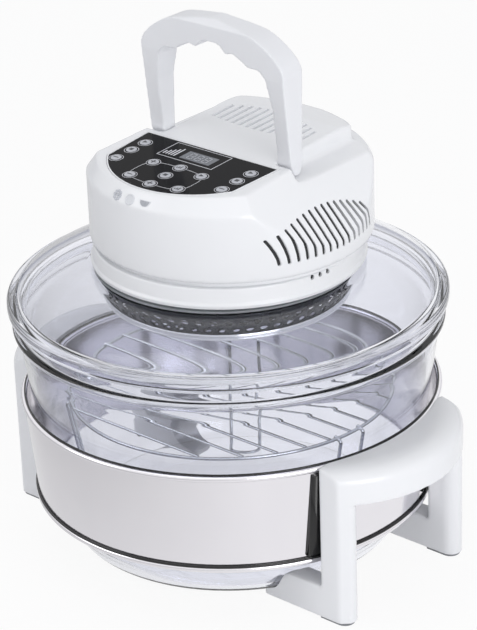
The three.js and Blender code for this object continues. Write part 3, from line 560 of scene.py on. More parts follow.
def ramp(tree: bpy.types.NodeTree, value: Any, source: Flat, target: Flat) -> Any:
    """Map one range of a value to another, held at both ends.

    Args:
        tree: The node tree.
        value: Socket with the value.
        source: Where the range starts and ends.
        target: What the two ends become.

    Returns:
        The socket with the mapped value.
    """
    names = ("From Min", "From Max", "To Min", "To Max")
    limits = dict(zip(names, (*source, *target)))
    return add_node(tree, "MapRange", {"Value": value, **limits}).outputs["Result"]


def blend(tree: bpy.types.NodeTree, share: Any, first: str, second: str) -> Any:
    """Blend two sRGB colours.

    Args:
        tree: The node tree.
        share: Socket with the share of the second colour.
        first: The first colour's code.
        second: The second colour's code.

    Returns:
        The socket with the blended colour.
    """
    colours = {"data_type": "RGBA", "0": share, "6": linear(first), "7": linear(second)}
    return add_node(tree, "Mix", colours).outputs[2]


def maths(tree: bpy.types.NodeTree, operation: str, first: Any, second: Any) -> Any:
    """Combine two values, each a socket or a number.

    Args:
        tree: The node tree.
        operation: Blender's name for the operation.
        first: The first value.
        second: The second value.

    Returns:
        The socket with the result.
    """
    return add_node(tree, "Math", {"operation": operation, "0": first, "1": second}).outputs[0]


def mixed_shader(tree: bpy.types.NodeTree, share: Any, first: Any, second: Any) -> Any:
    """Mix two shaders.

    Args:
        tree: The node tree.
        share: Socket with the share of the second shader.
        first: Node of the first shader.
        second: Node of the second shader.

    Returns:
        The node of the mixed shader.
    """
    return add_node(tree, "MixShader", {"0": share, "1": first.outputs[0], "2": second.outputs[0]})


@dataclass(frozen=True)
class Finish:
    """A surface finish: its slot in the record, its colours and its fine structure.

    Attributes:
        name: The finish in a maker's words.
        slot: The record's material slot; not used.
        colour: Main sRGB colour.
        shade: Second sRGB colour that the main one drifts to.
        patch: Size in millimetres of the drift between the two colours.
        roughness: Middle roughness.
        spread: How far the roughness drifts to each side.
        grain: Size in millimetres of the surface relief.
        relief: Height in millimetres of the surface relief.
        stretch: Stretch of the relief along x, y and z.
        sockets: Values set on the shader's own sockets.
    """

    name: str
    slot: str
    colour: str
    shade: str
    patch: float = 40.0
    roughness: float = 0.4
    spread: float = 0.03
    grain: float = 0.8
    relief: float = 0.01
    stretch: Point = (1.0, 1.0, 1.0)
    sockets: dict[str, Any] = field(default_factory=dict, hash=False)

    def material(self) -> bpy.types.Material:
        """Make the material once, and give the same one on later calls.

        Returns:
            The material of this finish.
        """
        found = bpy.data.materials.get(self.name)
        if found is not None:
            return found
        made = bpy.data.materials.new(self.name)
        tree = fresh_tree(made)
        place = add_node(tree, "TexCoord", {}).outputs["Object"]
        bare = add_node(tree, "BsdfPrincipled", {})
        for socket, value in self.sockets.items():
            bare.inputs[socket].default_value = value
        tree.links.new(self.tint(tree, place), bare.inputs["Base Color"])
        tree.links.new(self.wear(tree, place), bare.inputs["Roughness"])
        tree.links.new(self.emboss(tree, place), bare.inputs["Normal"])
        add_node(tree, "OutputMaterial", {"Surface": bare.outputs["BSDF"]})
        return made

    def tint(self, tree: bpy.types.NodeTree, place: Any) -> Any:
        """Let the colour drift softly between the two tones."""
        return blend(tree, noise(tree, place, 1 / (self.patch * MM), 3.0), self.colour, self.shade)

    def wear(self, tree: bpy.types.NodeTree, place: Any) -> Any:
        """Let the roughness drift as handling and cleaning leave it.

        Args:
            tree: The node tree.
            place: Socket with the object's coordinates.

        Returns:
            The socket with the roughness.
        """
        drift = noise(tree, place, 2.3 / (self.patch * MM), 4.0)
        smoothest = max(self.roughness - self.spread, 0.0)
        return ramp(tree, drift, (0.3, 0.7), (smoothest, self.roughness + self.spread))

    def emboss(self, tree: bpy.types.NodeTree, place: Any) -> Any:
        """Raise the fine relief that tooling, moulding or drawing leaves.

        Args:
            tree: The node tree.
            place: Socket with the object's coordinates.

        Returns:
            The socket with the raised normal.
        """
        laid = add_node(tree, "Mapping", {"Scale": self.stretch, "Vector": place}).outputs["Vector"]
        relief = noise(tree, laid, 1 / (self.grain * MM), 2.0)
        raised = {"Strength": 1.0, "Distance": self.relief * MM, "Height": relief}
        return add_node(tree, "Bump", raised).outputs["Normal"]

    def coat(self, piece: Piece) -> None:
        """Dress a new piece in this finish.

        Args:
            piece: The new piece.
        """
        piece.data.materials.clear()
        piece.data.materials.append(self.material())

    def cover(self, node: Piece) -> None:
        """Dress a CAD node in this finish by its own material slots."""
        for place in node.material_slots:
            place.material = self.material()


METAL = {"Metallic": 1.0}
MOULDED = {"IOR": 1.53}
RESIN = {"IOR": 1.5}

# Glossy moulded ABS: even, slightly cool white with the faint waviness of a polished mould
WHITE_ABS = Finish(
    "glossy_white_abs", "white_moulding", "f1f2f4", "eeeff2", roughness=0.22, spread=0.04,
    grain=2.2, relief=0.004, sockets=MOULDED,
)
# The bail is moulded in a finer spark-eroded tool, so it shines less and broader
SATIN_ABS = Finish(
    "satin_white_abs", "white_moulding", "ebecef", "e8e9ed", roughness=0.36, spread=0.04,
    grain=0.5, relief=0.01, sockets=MOULDED,
)
# Pressed borosilicate: nearly colourless, with the long soft waves of a pressed wall
PRESSED_GLASS = Finish(
    "pressed_borosilicate_glass", "clear_glass", "f4f5fa", "f1f2f8", roughness=0.012, spread=0.008,
    grain=46.0, relief=0.012, stretch=(1.0, 1.0, 0.5), sockets={"IOR": 1.47, "Transmission Weight": 1.0},
)
# Bright annealed stainless sheet, polished: fine drawing lines run round the band
POLISHED_STAINLESS = Finish(
    "polished_stainless_sheet", "polished_steel", "ebe9ed", "e6e4e9", roughness=0.13, spread=0.03,
    grain=2.0, relief=0.004, stretch=(0.05, 0.05, 1.6), sockets=METAL,
)
# Nickel chromed steel wire: bright with a very slight dulling at the welds
CHROMED_WIRE = Finish(
    "chromed_steel_wire", "rack_wire", "c9ccd1", "b9bcc2", patch=12.0, roughness=0.16, spread=0.05,
    grain=1.2, relief=0.01, sockets=METAL,
)
BRIGHT_TRIM = Finish(
    "chromed_trim_ring", "trim_chrome", "e2e3e7", "d6d8dc", roughness=0.16, spread=0.03,
    grain=3.0, relief=0.004, sockets=METAL,
)
# Perforated steel, heat darkened: grey with warm and cool patches from the lamp
DARK_STEEL = Finish(
    "heat_darkened_steel", "guard_steel", "3a3b40", "2d2e33", patch=24.0, roughness=0.3, spread=0.08,
    grain=0.9, relief=0.012, sockets=METAL,
)
REFLECTOR = Finish(
    "aluminised_reflector", "reflector_steel", "c9c8c4", "bdbbb6", patch=30.0, roughness=0.22, spread=0.06,
    grain=1.5, relief=0.008, sockets=METAL,
)
ZINC_SCREW = Finish(
    "zinc_plated_screw", "screw_steel", "a9acb1", "97999e", patch=5.0, roughness=0.3, spread=0.08,
    grain=0.4, relief=0.01, sockets=METAL,
)
CAST_ALLOY = Finish(
    "cast_motor_alloy", "motor_alloy", "9b9ea3", "898c91", patch=16.0, roughness=0.42, spread=0.08,
    grain=0.6, relief=0.02, sockets=METAL,
)
# Back-printed acrylic: deep black under a hard clear face
PANEL_ACRYLIC = Finish(
    "back_printed_acrylic", "panel_black", "0c0c10", "0f0f13", roughness=0.12, spread=0.02,
    grain=18.0, relief=0.012, sockets={"IOR": 1.33, "Specular IOR Level": 0.08},
)
KEY_PAINT = Finish(
    "silver_painted_key", "key_silver", "c3c5cb", "b7b9c0", patch=3.0, roughness=0.42, spread=0.05,
    grain=0.35, relief=0.012, sockets={"Metallic": 0.25},
)
PRINT_INK = Finish(
    "white_screen_ink", "key_silver", "e4e5ea", "dcdde2", patch=4.0, roughness=0.5, spread=0.05,
    grain=0.3, relief=0.006, sockets=RESIN,
)
DARK_INK = Finish(
    "dark_screen_ink", "panel_black", "2c2d33", "26272d", patch=4.0, roughness=0.45, spread=0.05,
    grain=0.3, relief=0.006, sockets=RESIN,
)
DISPLAY_LENS = Finish(
    "smoked_display_lens", "display_grey", "6a6f78", "5c6169", patch=9.0, roughness=0.12, spread=0.03,
    grain=6.0, relief=0.01, sockets={"IOR": 1.49},
)
ICON_PALE = Finish(
    "pale_indicator_lens", "icon_grey", "dcdee2", "d3d5da", patch=5.0, roughness=0.3, spread=0.04,
    grain=0.6, relief=0.01, sockets=RESIN,
)
ICON_MIST = Finish(
    "misty_indicator_lens", "icon_grey", "c9ccd2", "bfc2c9", patch=5.0, roughness=0.3, spread=0.04,
    grain=0.6, relief=0.01, sockets=RESIN,
)
ICON_GREY = Finish(
    "grey_indicator_lens", "icon_grey", "a9acb3", "9ea1a8", patch=5.0, roughness=0.3, spread=0.04,
    grain=0.6, relief=0.01, sockets=RESIN,
)
SILICONE = Finish(
    "clear_silicone_seal", "clear_silicone", "c9ced2", "bec3c8", patch=18.0, roughness=0.4, spread=0.06,
    grain=0.8, relief=0.01, sockets={"IOR": 1.41, "Transmission Weight": 0.55},
)
RUBBER = Finish(
    "grey_foot_rubber", "foot_rubber", "87898d", "7a7c80", patch=8.0, roughness=0.75, spread=0.06,
    grain=0.5, relief=0.03, sockets={"IOR": 1.52},
)
# Matt black: the real black switch and display module, and the painted shade behind the side vents and in
# the skirt's vent holes
BLACK_PARTS_AND_PAINTED_SHADE = Finish(
    "black_moulding_and_painted_shade", "inner_black", "1a1a1d", "222226", patch=14.0, roughness=0.6, spread=0.08,
    grain=0.8, relief=0.02, sockets=RESIN,
)
# Glossy near-black for the thin rings and strips of painted shade and dark reflection on the band
PAINTED_SHADE_BLACK = Finish(
    "glossy_painted_shade_black", "inner_black", "08080a", "0b0b0d", roughness=0.2, spread=0.05,
    grain=1.4, relief=0.01, sockets=RESIN,
)
FAN_NYLON = Finish(
    "glass_filled_nylon", "fan_plastic", "3b3d42", "33353a", patch=12.0, roughness=0.5, spread=0.06,
    grain=0.5, relief=0.02, sockets=MOULDED,
)
BOARD = Finish(
    "solder_masked_board", "board_green", "2c5a38", "24502f", patch=7.0, roughness=0.45, spread=0.1,
    grain=1.0, relief=0.03, sockets=RESIN,
)
QUARTZ = Finish(
    "frosted_quartz_tube", "lamp_quartz", "f1ede4", "ebe6da", patch=10.0, roughness=0.16, spread=0.05,
    grain=1.6, relief=0.01, sockets={"IOR": 1.46, "Transmission Weight": 0.6},
)
CERAMIC = Finish(
    "steatite_ceramic", "ceramic_white", "e6e1d4", "dcd6c7", patch=8.0, roughness=0.7, spread=0.06,
    grain=0.4, relief=0.03, sockets={"IOR": 1.55},
)


def show(piece: Piece, finish: Finish, body: Body, *nodes: str) -> Piece:
    """Dress a piece, ride it on its body and let it stand for CAD nodes.

    Args:
        piece: The finished piece.
        finish: Its finish.
        body: The body that it moves with.
        nodes: The CAD nodes that it replaces.

    Returns:
        The piece.
    """
    finish.coat(piece)
    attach(piece, body.value)
    if nodes:
        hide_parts(*nodes)
    log.info("%s: %d faces on %s", piece.name, len(piece.data.polygons), body.value)
    return piece


# Studio


@dataclass
class Studio:
    """Floor, lamps, world and the camera at the photograph's viewpoint.

    Attributes:
        distance: From the foot of the oven's axis to the camera.
        elevation: Height of the camera above the horizon, in degrees.
        azimuth: Turn of the oven under the camera, in degrees.
        yaw: Turn of the camera's aim to the right, in degrees.
        pitch: Tilt of the camera's aim downwards, in degrees.
        roll: Roll of the camera, in degrees.
        lens: Focal length on a sensor of the width below.
        sensor: Width of the sensor.
        far: Farthest thing that the camera sees, in metres.
        floor_side: Side of the floor, in metres.
        floor_glow: Share of the floor that glows for the eye and the mirrors.
        dusk: Where the floor's dim side starts and ends, in metres to the right.
        dusk_depth: Strength of the dim side.
        edge: Where the sky's dim edge starts and ends, as the rise of the line of sight.
        lamps: Name, place, side and power of each lamp, in metres and watts.
        lamp_aim: What the lamps face, in metres.
    """

    distance: float = 2147.8
    elevation: float = 29.42
    azimuth: float = 42.21
    yaw: float = 0.225
    pitch: float = 25.006
    roll: float = -2.078
    lens: float = 151.77
    sensor: float = 36.0
    far: float = 50.0
    floor_side: float = 30.0
    floor_glow: float = 0.92
    dusk: Flat = (-0.34, 0.04)
    dusk_depth: float = 0.36
    edge: Flat = (0.03, 0.12)
    lamps: tuple[tuple[str, Point, float, float], ...] = (
        ("top_softbox", (-0.2, -0.3, 2.4), 1.8, 8.0),
        ("left_softbox", (-1.6, -1.9, 1.5), 1.4, 9.0),
        ("right_softbox", (2.2, -0.9, 0.9), 1.4, 24.0),
    )
    lamp_aim: Point = (0.0, 0.0, 0.2)

    def build(self) -> None:
        """Set up the whole studio."""
        self.place_camera()
        self.lay_floor()
        self.light_world()
        for name, place, side, power in self.lamps:
            self.hang(name, Vector(place), side, power)
        bpy.context.scene.view_settings.view_transform = "Standard"

    def place_camera(self) -> None:
        """Add the camera with the fitted place and aim."""
        elevation, yaw, pitch, roll = (
            math.radians(a) for a in (self.elevation, self.yaw, self.pitch, self.roll)
        )
        place = Vector((0, -math.cos(elevation), math.sin(elevation))) * self.distance * MM
        level = math.cos(pitch)
        ahead = Vector((math.sin(yaw) * level, math.cos(yaw) * level, -math.sin(pitch)))
        right = ahead.cross(Vector((0, 0, 1))).normalized()
        up = right.cross(ahead)
        side = right * math.cos(roll) + up * math.sin(roll)
        top = up * math.cos(roll) - right * math.sin(roll)
        aim = Matrix((side, top, -ahead)).transposed().to_4x4()
        turn = Matrix.Rotation(math.radians(self.azimuth), 4, "Z")
        deselect_all()
        bpy.ops.object.camera_add()
        camera = bpy.context.active_object
        camera.name = "photo_camera"
        camera.data.lens = self.lens
        camera.data.sensor_width = self.sensor
        camera.data.clip_end = self.far
        camera.matrix_world = turn @ Matrix.Translation(place) @ aim
        bpy.context.scene.camera = camera

    def rays(self, tree: bpy.types.NodeTree) -> tuple[Any, Any, Any]:
        """Tell the rays that an eye follows from those that only light the object.

        Args:
            tree: The node tree.

        Returns:
            Sockets for glossy rays, for rays in mirrors or glass, and for these and the camera's.
        """
        seen = add_node(tree, "LightPath", {}).outputs
        mirror = maths(tree, "MAXIMUM", seen["Is Glossy Ray"], seen["Is Transmission Ray"])
        return seen["Is Glossy Ray"], mirror, maths(tree, "MAXIMUM", seen["Is Camera Ray"], mirror)

    def lay_floor(self) -> None:
        """Add the pale floor, brighter to the eye than to the object."""
        deselect_all()
        bpy.ops.mesh.primitive_plane_add(size=self.floor_side, location=(0, 0, 0))
        floor = new_piece("studio_floor")
        paper = bpy.data.materials.new("white_paper_sweep")
        tree = fresh_tree(paper)
        glossy, _, watched = self.rays(tree)
        fibre = add_node(tree, "TexNoise", {"Scale": 400.0}).outputs["Fac"]
        matte = add_node(tree, "BsdfDiffuse", {"Color": blend(tree, fibre, "f3f3f4", "efeff1")})
        turn = math.radians(self.azimuth)
        place = add_node(tree, "TexCoord", {}).outputs["Object"]
        right = {"operation": "DOT_PRODUCT", "0": place, "1": (math.cos(turn), math.sin(turn), 0.0)}
        across = add_node(tree, "VectorMath", right).outputs["Value"]
        dim = maths(tree, "MULTIPLY", ramp(tree, across, self.dusk, (self.dusk_depth, 0.0)), glossy)
        glow = add_node(tree, "Emission", {"Color": blend(tree, dim, "ffffff", "04040c"), "Strength": 1.0})
        share = maths(tree, "MULTIPLY", watched, self.floor_glow)
        add_node(tree, "OutputMaterial", {"Surface": mixed_shader(tree, share, matte, glow).outputs[0]})
        floor.data.materials.append(paper)

    def light_world(self) -> None:
        """Give the object a soft sky, and the eye and the mirrors a white one with a dim edge."""
        world = bpy.context.scene.world or bpy.data.worlds.new("studio")
        bpy.context.scene.world = world
        tree = fresh_tree(world)
        _, mirror, watched = self.rays(tree)
        soft, white, dark = (
            add_node(tree, "Background", {"Color": linear(code), "Strength": strength})
            for code, strength in (("f4f5f8", 0.6), ("ffffff", 1.0), ("9496a0", 1.0))
        )
        way = add_node(tree, "TexCoord", {}).outputs["Generated"]
        height = add_node(tree, "SeparateXYZ", {"0": way}).outputs["Z"]
        dim = maths(tree, "MULTIPLY", ramp(tree, height, self.edge, (1.0, 0.0)), mirror)
        sky = mixed_shader(tree, dim, mixed_shader(tree, watched, soft, white), dark)
        add_node(tree, "OutputWorld", {"Surface": sky.outputs[0]})

    def hang(self, name: str, place: Vector, side: float, power: float) -> None:
        """Add a square area lamp that faces the middle of the oven.

        Args:
            name: Name of the lamp.
            place: Where it hangs, in metres.
            side: Length of its side, in metres.
            power: Its power in watts.
        """
        deselect_all()
        bpy.ops.object.light_add(type="AREA", location=place)
        lamp = bpy.context.active_object
        lamp.name = name
        lamp.data.size = side
        lamp.data.energy = power
        lamp.rotation_euler = (Vector(self.lamp_aim) - place).to_track_quat("-Z", "Y").to_euler()


# Stand


@dataclass
class Stand:
    """Polished band between two moulded leg frames on rubber pads.

    Attributes:
        band_top: Radius and height of the upper bead's outside.
        band_low: Radius and height of the lower bead's outside.
        bead: Radius of the rolled beads.
        sheet: Thickness of the band.
        painted_shade_rings: Radius, height and thickness of the thin dark rings of painted shade and dark
            reflection in the bead coves.
        shade_strip_levels: Lower and upper end of the dark strips of painted shade beside the posts.
        shade_strip_depth: Thickness of the strips.
        shade_strip_overhang: How far the strips reach past a post.
        post_inner: Inner end of a leg frame's posts.
        post_outer: Outer end of the posts.
        post_width: Width of the posts.
        post_side: Distance of the posts from the middle plane.
        back: Where the leg frame ends behind the band, above the arms.
        foot: Height of the leg frame's underside over the pads.
        top: Height of the leg frames.
        arm: Distance and height of the corners of an arm's sloping top.
        grip_inner: Radius of the grip's inner arc about the oven's axis.
        grip_centre: Centre of the grip's outer arc.
        grip_radius: Radius of the grip's outer arc.
        grip_side: Half length of the grip.
        grip_low: Lower edge of the grip.
        lip: Radius of the outside of the grip's inner lip.
        hollow_side: Half length of the grip's hollow.
        hollows: Wall and ceiling of the two steps of the hollow.
        undercut: Level up to which only the lip reaches down.
        brow: Width and depth of the rounded outer edge on top.
        grain: Grain and rounds of the softening.
        gap: Clearance to the neighbours.
    """

    band_top: Flat = (165.3, 126.0)
    band_low: Flat = (158.6, 46.0)
    bead: float = 2.4
    sheet: float = 0.9
    painted_shade_rings: tuple[Point, ...] = ((162.2, 129.1, 0.75), (157.6, 49.0, 1.0))
    shade_strip_levels: Flat = (52.0, 121.0)
    shade_strip_depth: float = 2.4
    shade_strip_overhang: float = 1.6
    post_inner: float = 146.0
    post_outer: float = 175.0
    post_width: float = 19.0
    post_side: float = 65.5
    back: float = 150.0
    foot: float = 1.5
    top: float = 130.0
    arm: tuple[Flat, Flat] = ((94.0, 14.0), (118.0, 28.5))
    grip_inner: float = 150.0
    grip_centre: float = 102.28
    grip_radius: float = 99.72
    grip_side: float = 75.0
    grip_low: float = 93.0
    lip: float = 169.6
    hollow_side: float = 53.0
    hollows: tuple[Flat, Flat] = ((14.0, 124.0), (5.0, 113.0))
    undercut: float = 102.5
    brow: Flat = (20.0, 11.0)
    grain: tuple[float, int] = (1.3, 5)
    gap: float = 0.3

    def build(self) -> None:
        """Build the band, the leg frames and their small parts."""
        show(self.band(), POLISHED_STAINLESS, Body.STAND, "steel_band")
        # Thin dark rings of painted shade and dark reflection in the coves of the two beads
        show(self.painted_shade_lines(), PAINTED_SHADE_BLACK, Body.STAND)
        # Dark strips of painted shade and dark reflection between the band and each post
        show(self.painted_shade_strips(), PAINTED_SHADE_BLACK, Body.STAND)
        right = self.leg_frame()
        left = copied(right, "left_leg", Matrix.Rotation(math.pi, 4, "Z"))
        show(right, WHITE_ABS, Body.STAND, "right_leg_frame")
        show(left, WHITE_ABS, Body.STAND, "left_leg_frame")

    def band_middle(self, height: float) -> float:
        """Give the radius of the middle of the sheet at a height."""
        share = (height - self.band_low[1]) / (self.band_top[1] - self.band_low[1])
        return self.band_low[0] + share * (self.band_top[0] - self.band_low[0]) - self.bead

    def bead_arc(self, height: float, start: float, end: float, swell: float = 0.0) -> list[Flat]:
        """List points round a bead.

        Args:
            height: Height of the bead's middle.
            start: First angle, counted from straight down towards the outside.
            end: Last angle.
            swell: Distance outwards from the bead.

        Returns:
            Radius and height of each point.
        """
        radius = self.bead + swell
        angles = [start + (end - start) * i / 18 for i in range(19)]
        middle = self.band_middle(height)
        return [(middle + radius * math.sin(a), height - radius * math.cos(a)) for a in angles]

    def band(self) -> Piece:
        """Turn the band's sheet with its rolled beads.

        Returns:
            The band.
        """
        mouth = math.asin(self.sheet / 2 / self.bead)
        upper = self.bead_arc(self.band_top[1], mouth, math.tau - mouth)
        lower = self.bead_arc(self.band_low[1], math.pi + mouth, 3 * math.pi - mouth)
        return turned("polished_band", [*upper, *lower])

    def painted_shade_lines(self) -> Piece:
        """Lay thin dark rings of painted shade and dark reflection in the coves of the two beads.

        Returns:
            The rings as one piece.
        """
        rings = []
        for radius, height, line_radius in self.painted_shade_rings:
            line = [(x, y, height) for x, y in arc((0, 0), radius, 0, 360, ROUND_STEPS)[:-1]]
            rings.append(wire("shade_line_ring", line, line_radius, closed=True))
        return gathered("band_painted_shade", rings)

    def painted_shade_strips(self) -> Piece:
        """Turn the thin dark strips of painted shade and dark reflection between the band and the four
        posts.

        Returns:
            The strips as one piece.
        """
        inner = [(self.band_middle(z) + self.sheet / 2 + self.gap, z) for z in self.shade_strip_levels]
        outer = [(radius + self.shade_strip_depth, z) for radius, z in inner]
        ring = turned("painted_shade_strips", [inner[0], *outer, inner[1]])
        half = self.post_width / 2 + self.shade_strip_overhang
        near, wide = self.post_side - half, self.post_side + half
        self.keep_box(ring, (FAR, near), Join.CUT)
        self.keep_box(ring, (126.0, FAR), Join.CUT)
        return self.keep_box(ring, (FAR, wide), Join.KEEP_COMMON)

    def keep_box(self, ring: Piece, reach: Flat, how: Join) -> Piece:
        """Cut a ring by an upright box about the axis, or keep what lies in it.

        Args:
            ring: The ring.
            reach: Half length and half width of the box.
            how: Whether to cut or to keep.

        Returns:
            The changed ring.
        """
        x, y = reach
        return combined(ring, pushed("box", [(-x, -y), (x, -y), (x, y), (-x, y)], 40.0, self.top), how)

    def leg_frame(self) -> Piece:
        """Model the right leg frame: posts, arms and the bowed hollow grip.

        Returns:
            The leg frame.
        """
        frame = self.crescent("right_leg", self.grip_inner, 0.0, self.grip_side, self.grip_low, self.top)
        for wall, ceiling in self.hollows:
            hollow = self.crescent("hollow", self.lip, -wall, self.hollow_side, 80.0, ceiling)
            combined(frame, hollow, Join.CUT)
        below = self.crescent("undercut", self.lip, 9.0, self.grip_side + 1, 70.0, self.undercut)
        combined(frame, below, Join.CUT)
        half = self.post_width / 2
        (tip, tip_height), (run, arm_top) = self.arm
        for side in (1, -1):
            middle = side * self.post_side
            outline = [
                (self.post_inner, middle - half),
                *arc((self.post_outer - half, middle), half, -90, 90, 20),
                (self.post_inner, middle + half),
            ]
            combined(frame, pushed("post", outline, self.foot, self.top), Join.ADD)
            profile = [
                (tip, self.foot), (self.back, self.foot), (self.back, arm_top), (run, arm_top),
                (tip, tip_height),
            ]
            combined(frame, pushed("arm", profile, middle - half, middle + half, Plane.FRONT), Join.ADD)
        behind = [(100.0, -90.0), (self.back, -90.0), (self.back, 90.0), (100.0, 90.0)]
        combined(frame, pushed("behind_band", behind, arm_top, self.top + 2), Join.CUT)
        width, depth = self.brow
        brow = [
            (self.grip_radius - width + width * x, self.top - depth + depth * z)
            for x, z in arc((0, 0), 1.0, 0, 90, 12)
        ]
        dome = [(0.0, -1.0), (self.grip_radius, -1.0), *brow, (0.0, self.top)]
        combined(frame, turned("brow", dome, (self.grip_centre, 0.0)), Join.KEEP_COMMON)
        softened(frame, *self.grain)
        combined(frame, self.band_room(), Join.CUT)
        combined(frame, turned("bowl_room", [*Bowl().outside(0.35), (0.0, Bowl.mouth[1])]), Join.CUT)
        smooth(frame)
        return frame

    def crescent(self, name: str, inner: float, swell: float, side: float, low: float, high: float) -> Piece:
        """Push the plan of the bowed grip.

        Args:
            name: Name of the piece.
            inner: Radius of the inner arc about the oven's axis.
            swell: Distance of the outer arc outwards from the grip's own.
            side: Half length.
            low: Lower level.
            high: Upper level.

        Returns:
            The solid crescent.
        """
        outer = self.grip_radius + swell
        inner_end = math.degrees(math.asin(side / inner))
        outer_end = math.degrees(math.asin(side / outer))
        outline = [
            *arc((0, 0), inner, inner_end, -inner_end, 40),
            *arc((self.grip_centre, 0), outer, -outer_end, outer_end, 40),
        ]
        return pushed(name, outline, low, high)

    def band_room(self) -> Piece:
        """Turn the room that the leg frames leave for the band.

        Returns:
            The cutter.
        """
        mouth = math.asin((self.sheet / 2 + self.gap) / (self.bead + self.gap))
        profile = [
            (0.0, self.band_low[1] - self.bead - self.gap),
            *self.bead_arc(self.band_low[1], 0, math.pi - mouth, self.gap),
            *self.bead_arc(self.band_top[1], mouth, math.pi / 2, self.gap),
            (self.band_top[0] + self.gap, self.top + 2),
            (0.0, self.top + 2),
        ]
        return turned("band_room", profile)


# Bowl


@dataclass
class Bowl:
    """Pressed glass bowl with a moulded base, a flange bead and a neck.

    Attributes:
        base: Height of the flat base above the floor.
        flat: Radius of the flat base.
        foot: Radius and height where the wall starts.
        mouth: Radius and height where the wall ends.
        swell: Power of the wall's swelling curve.
        wall: Thickness of the glass.
        wall_steps: Steps along the wall's curve.
        rings: Innermost radius, pitch, depth and number of the rings under the base.
        fillet: Radius between the floor and the wall inside, and the height that it may reach.
        neck: Inside of the neck, downwards.
        flange: Outside of the neck and the flange bead, with its fillets.
    """

    base: float = 6.5
    flat: float = 120.0
    foot: Flat = (126.0, 10.0)
    mouth: Flat = (162.5, 173.0)
    swell: float = 0.56
    wall: float = 4.5
    wall_steps: int = 96
    rings: tuple[float, float, float, int] = (97.0, 2.6, 0.12, 6)
    fillet: Flat = (15.0, 24.0)
    neck: tuple[Flat, ...] = ((160.0, 196.5), (160.0, 193.0), (159.4, 188.0), (158.6, 183.0), (158.2, 178.0))
    flange: tuple[Point, ...] = (
        (162.7, 180.0, 0), (163.5, 184.0, 1.2), (168.0, 184.4, 2.2), (168.0, 189.4, 2.2),
        (164.5, 190.2, 1.4), (164.5, 198.5, 2.0), (160.0, 198.5, 2.0), (160.0, 180.0, 0),
    )

    def build(self) -> None:
        """Turn the bowl and ride it on its body."""
        radius, top = self.fillet
        wall = [point for point in self.outside(-self.wall)[2:] if point[1] > top]
        floor = self.base + self.wall
        fillet = rounded([(0.0, floor, 0), (self.flat + 3.0, floor, radius), (*wall[0], 0)], 14)
        inside = [*self.neck, *reversed(wall), *reversed(fillet[:-1])]
        section = [*self.outside(0), *rounded(self.flange, 5)[:-1], *inside]
        show(turned("glass_pot", section, steps=GLASS_STEPS), PRESSED_GLASS, Body.BOWL, "glass_bowl")

    def outside(self, swell: float) -> list[Flat]:
        """List the outside of base and wall, moved outwards by a distance.

        Args:
            swell: Distance outwards, negative for the inside.

        Returns:
            Points from the axis up to the mouth.
        """
        points: list[Flat] = [(0.0, self.base - swell)]
        if swell == 0:
            points += self.base_rings()
        points.append((self.flat, self.base - swell))
        for i in range(self.wall_steps + 1):
            share = (i / self.wall_steps) ** 2
            radius = self.foot[0] + (self.mouth[0] - self.foot[0]) * share**self.swell
            points.append((radius + swell, self.foot[1] + (self.mouth[1] - self.foot[1]) * share))
        return points

    def base_rings(self) -> list[Flat]:
        """List the fine rings that the press tool leaves under the base.

        Returns:
            Radius and height of its points.
        """
        first, pitch, depth, count = self.rings
        rings: list[Flat] = []
        for i in range(count):
            start = first + i * pitch
            rings += [(start, self.base), (start + pitch / 2, self.base + depth)]
        return rings


# Rack


@dataclass
class Rack:
    """Chromed wire rack: ring, twelve cross wires and three bent legs.

    Attributes:
        radius: Radius of the ring.
        height: Height of the ring.
        wire: Radius of the wire.
        cross_share: Thickness of the cross wires as a share of the ring's.
        cross_lift: Height of the cross wires above the ring.
        pitch: Distance between the cross wires.
        rows: Cross wires on each side of the middle.
        leg_angles: Where the legs stand, in degrees.
        spread: Half distance between a leg's two wires.
        bend: Place from the ring, height and fillet of a leg's corners.
        foot_turn: Angles between the points of the leg's rounded foot, in degrees.
    """

    radius: float = 127.0
    height: float = 125.0
    wire: float = 1.4
    cross_share: float = 0.82
    cross_lift: float = 1.6
    pitch: float = 20.0
    rows: int = 6
    leg_angles: tuple[float, ...] = (-5.0, 127.0, 227.0)
    spread: float = 12.0
    bend: tuple[Point, ...] = (
        (-3.0, 126.0, 0), (3.2, 123.5, 2.5), (1.5, 115.0, 6), (-15.0, 22.5, 6), (-18.0, 13.2, 5),
        (-26.0, 12.9, 0),
    )
    foot_turn: float = 15.0

    def build(self) -> None:
        """Bend the wires and join them into one rack."""
        ring = [(x, y, self.height) for x, y in arc((0, 0), self.radius, 0, 360, 96)[:-1]]
        wires = [wire("rack_ring", ring, self.wire, closed=True)]
        level = self.height + self.cross_lift
        for row in range(self.rows):
            for side in (1, -1):
                y = side * (row + 0.5) * self.pitch
                reach = math.sqrt(self.radius**2 - y**2) + 0.4
                line = [(-reach, y, level), (reach, y, level)]
                wires.append(wire("cross_wire", line, self.wire * self.cross_share))
        leg = self.leg()
        first, *others = [Matrix.Rotation(math.radians(angle), 4, "Z") for angle in self.leg_angles]
        wires += [copied(leg, "rack_leg", turn) for turn in others]
        wires.append(moved(leg, first))
        show(gathered("oven_rack", wires), CHROMED_WIRE, Body.RACK, "wire_rack")

    def leg(self) -> Piece:
        """Bend one leg, standing at angle nought, with its two wires joined by a rounded foot.

        Returns:
            The leg.
        """
        bend = rounded([(self.radius + x, z, radius) for x, z, radius in self.bend], 5)
        side = [(x, self.spread, z) for x, z in bend]
        foot, level = self.radius + self.bend[-1][0], self.bend[-1][1]
        turn = [
            (foot - 0.6 * self.spread * math.cos(a), self.spread * math.sin(a), level)
            for a in (math.radians(self.foot_turn * i) for i in range(5, -6, -1))
        ]
        return wire("rack_leg", [*side, *turn, *((x, -y, z) for x, y, z in reversed(side))], self.wire)


# Lid


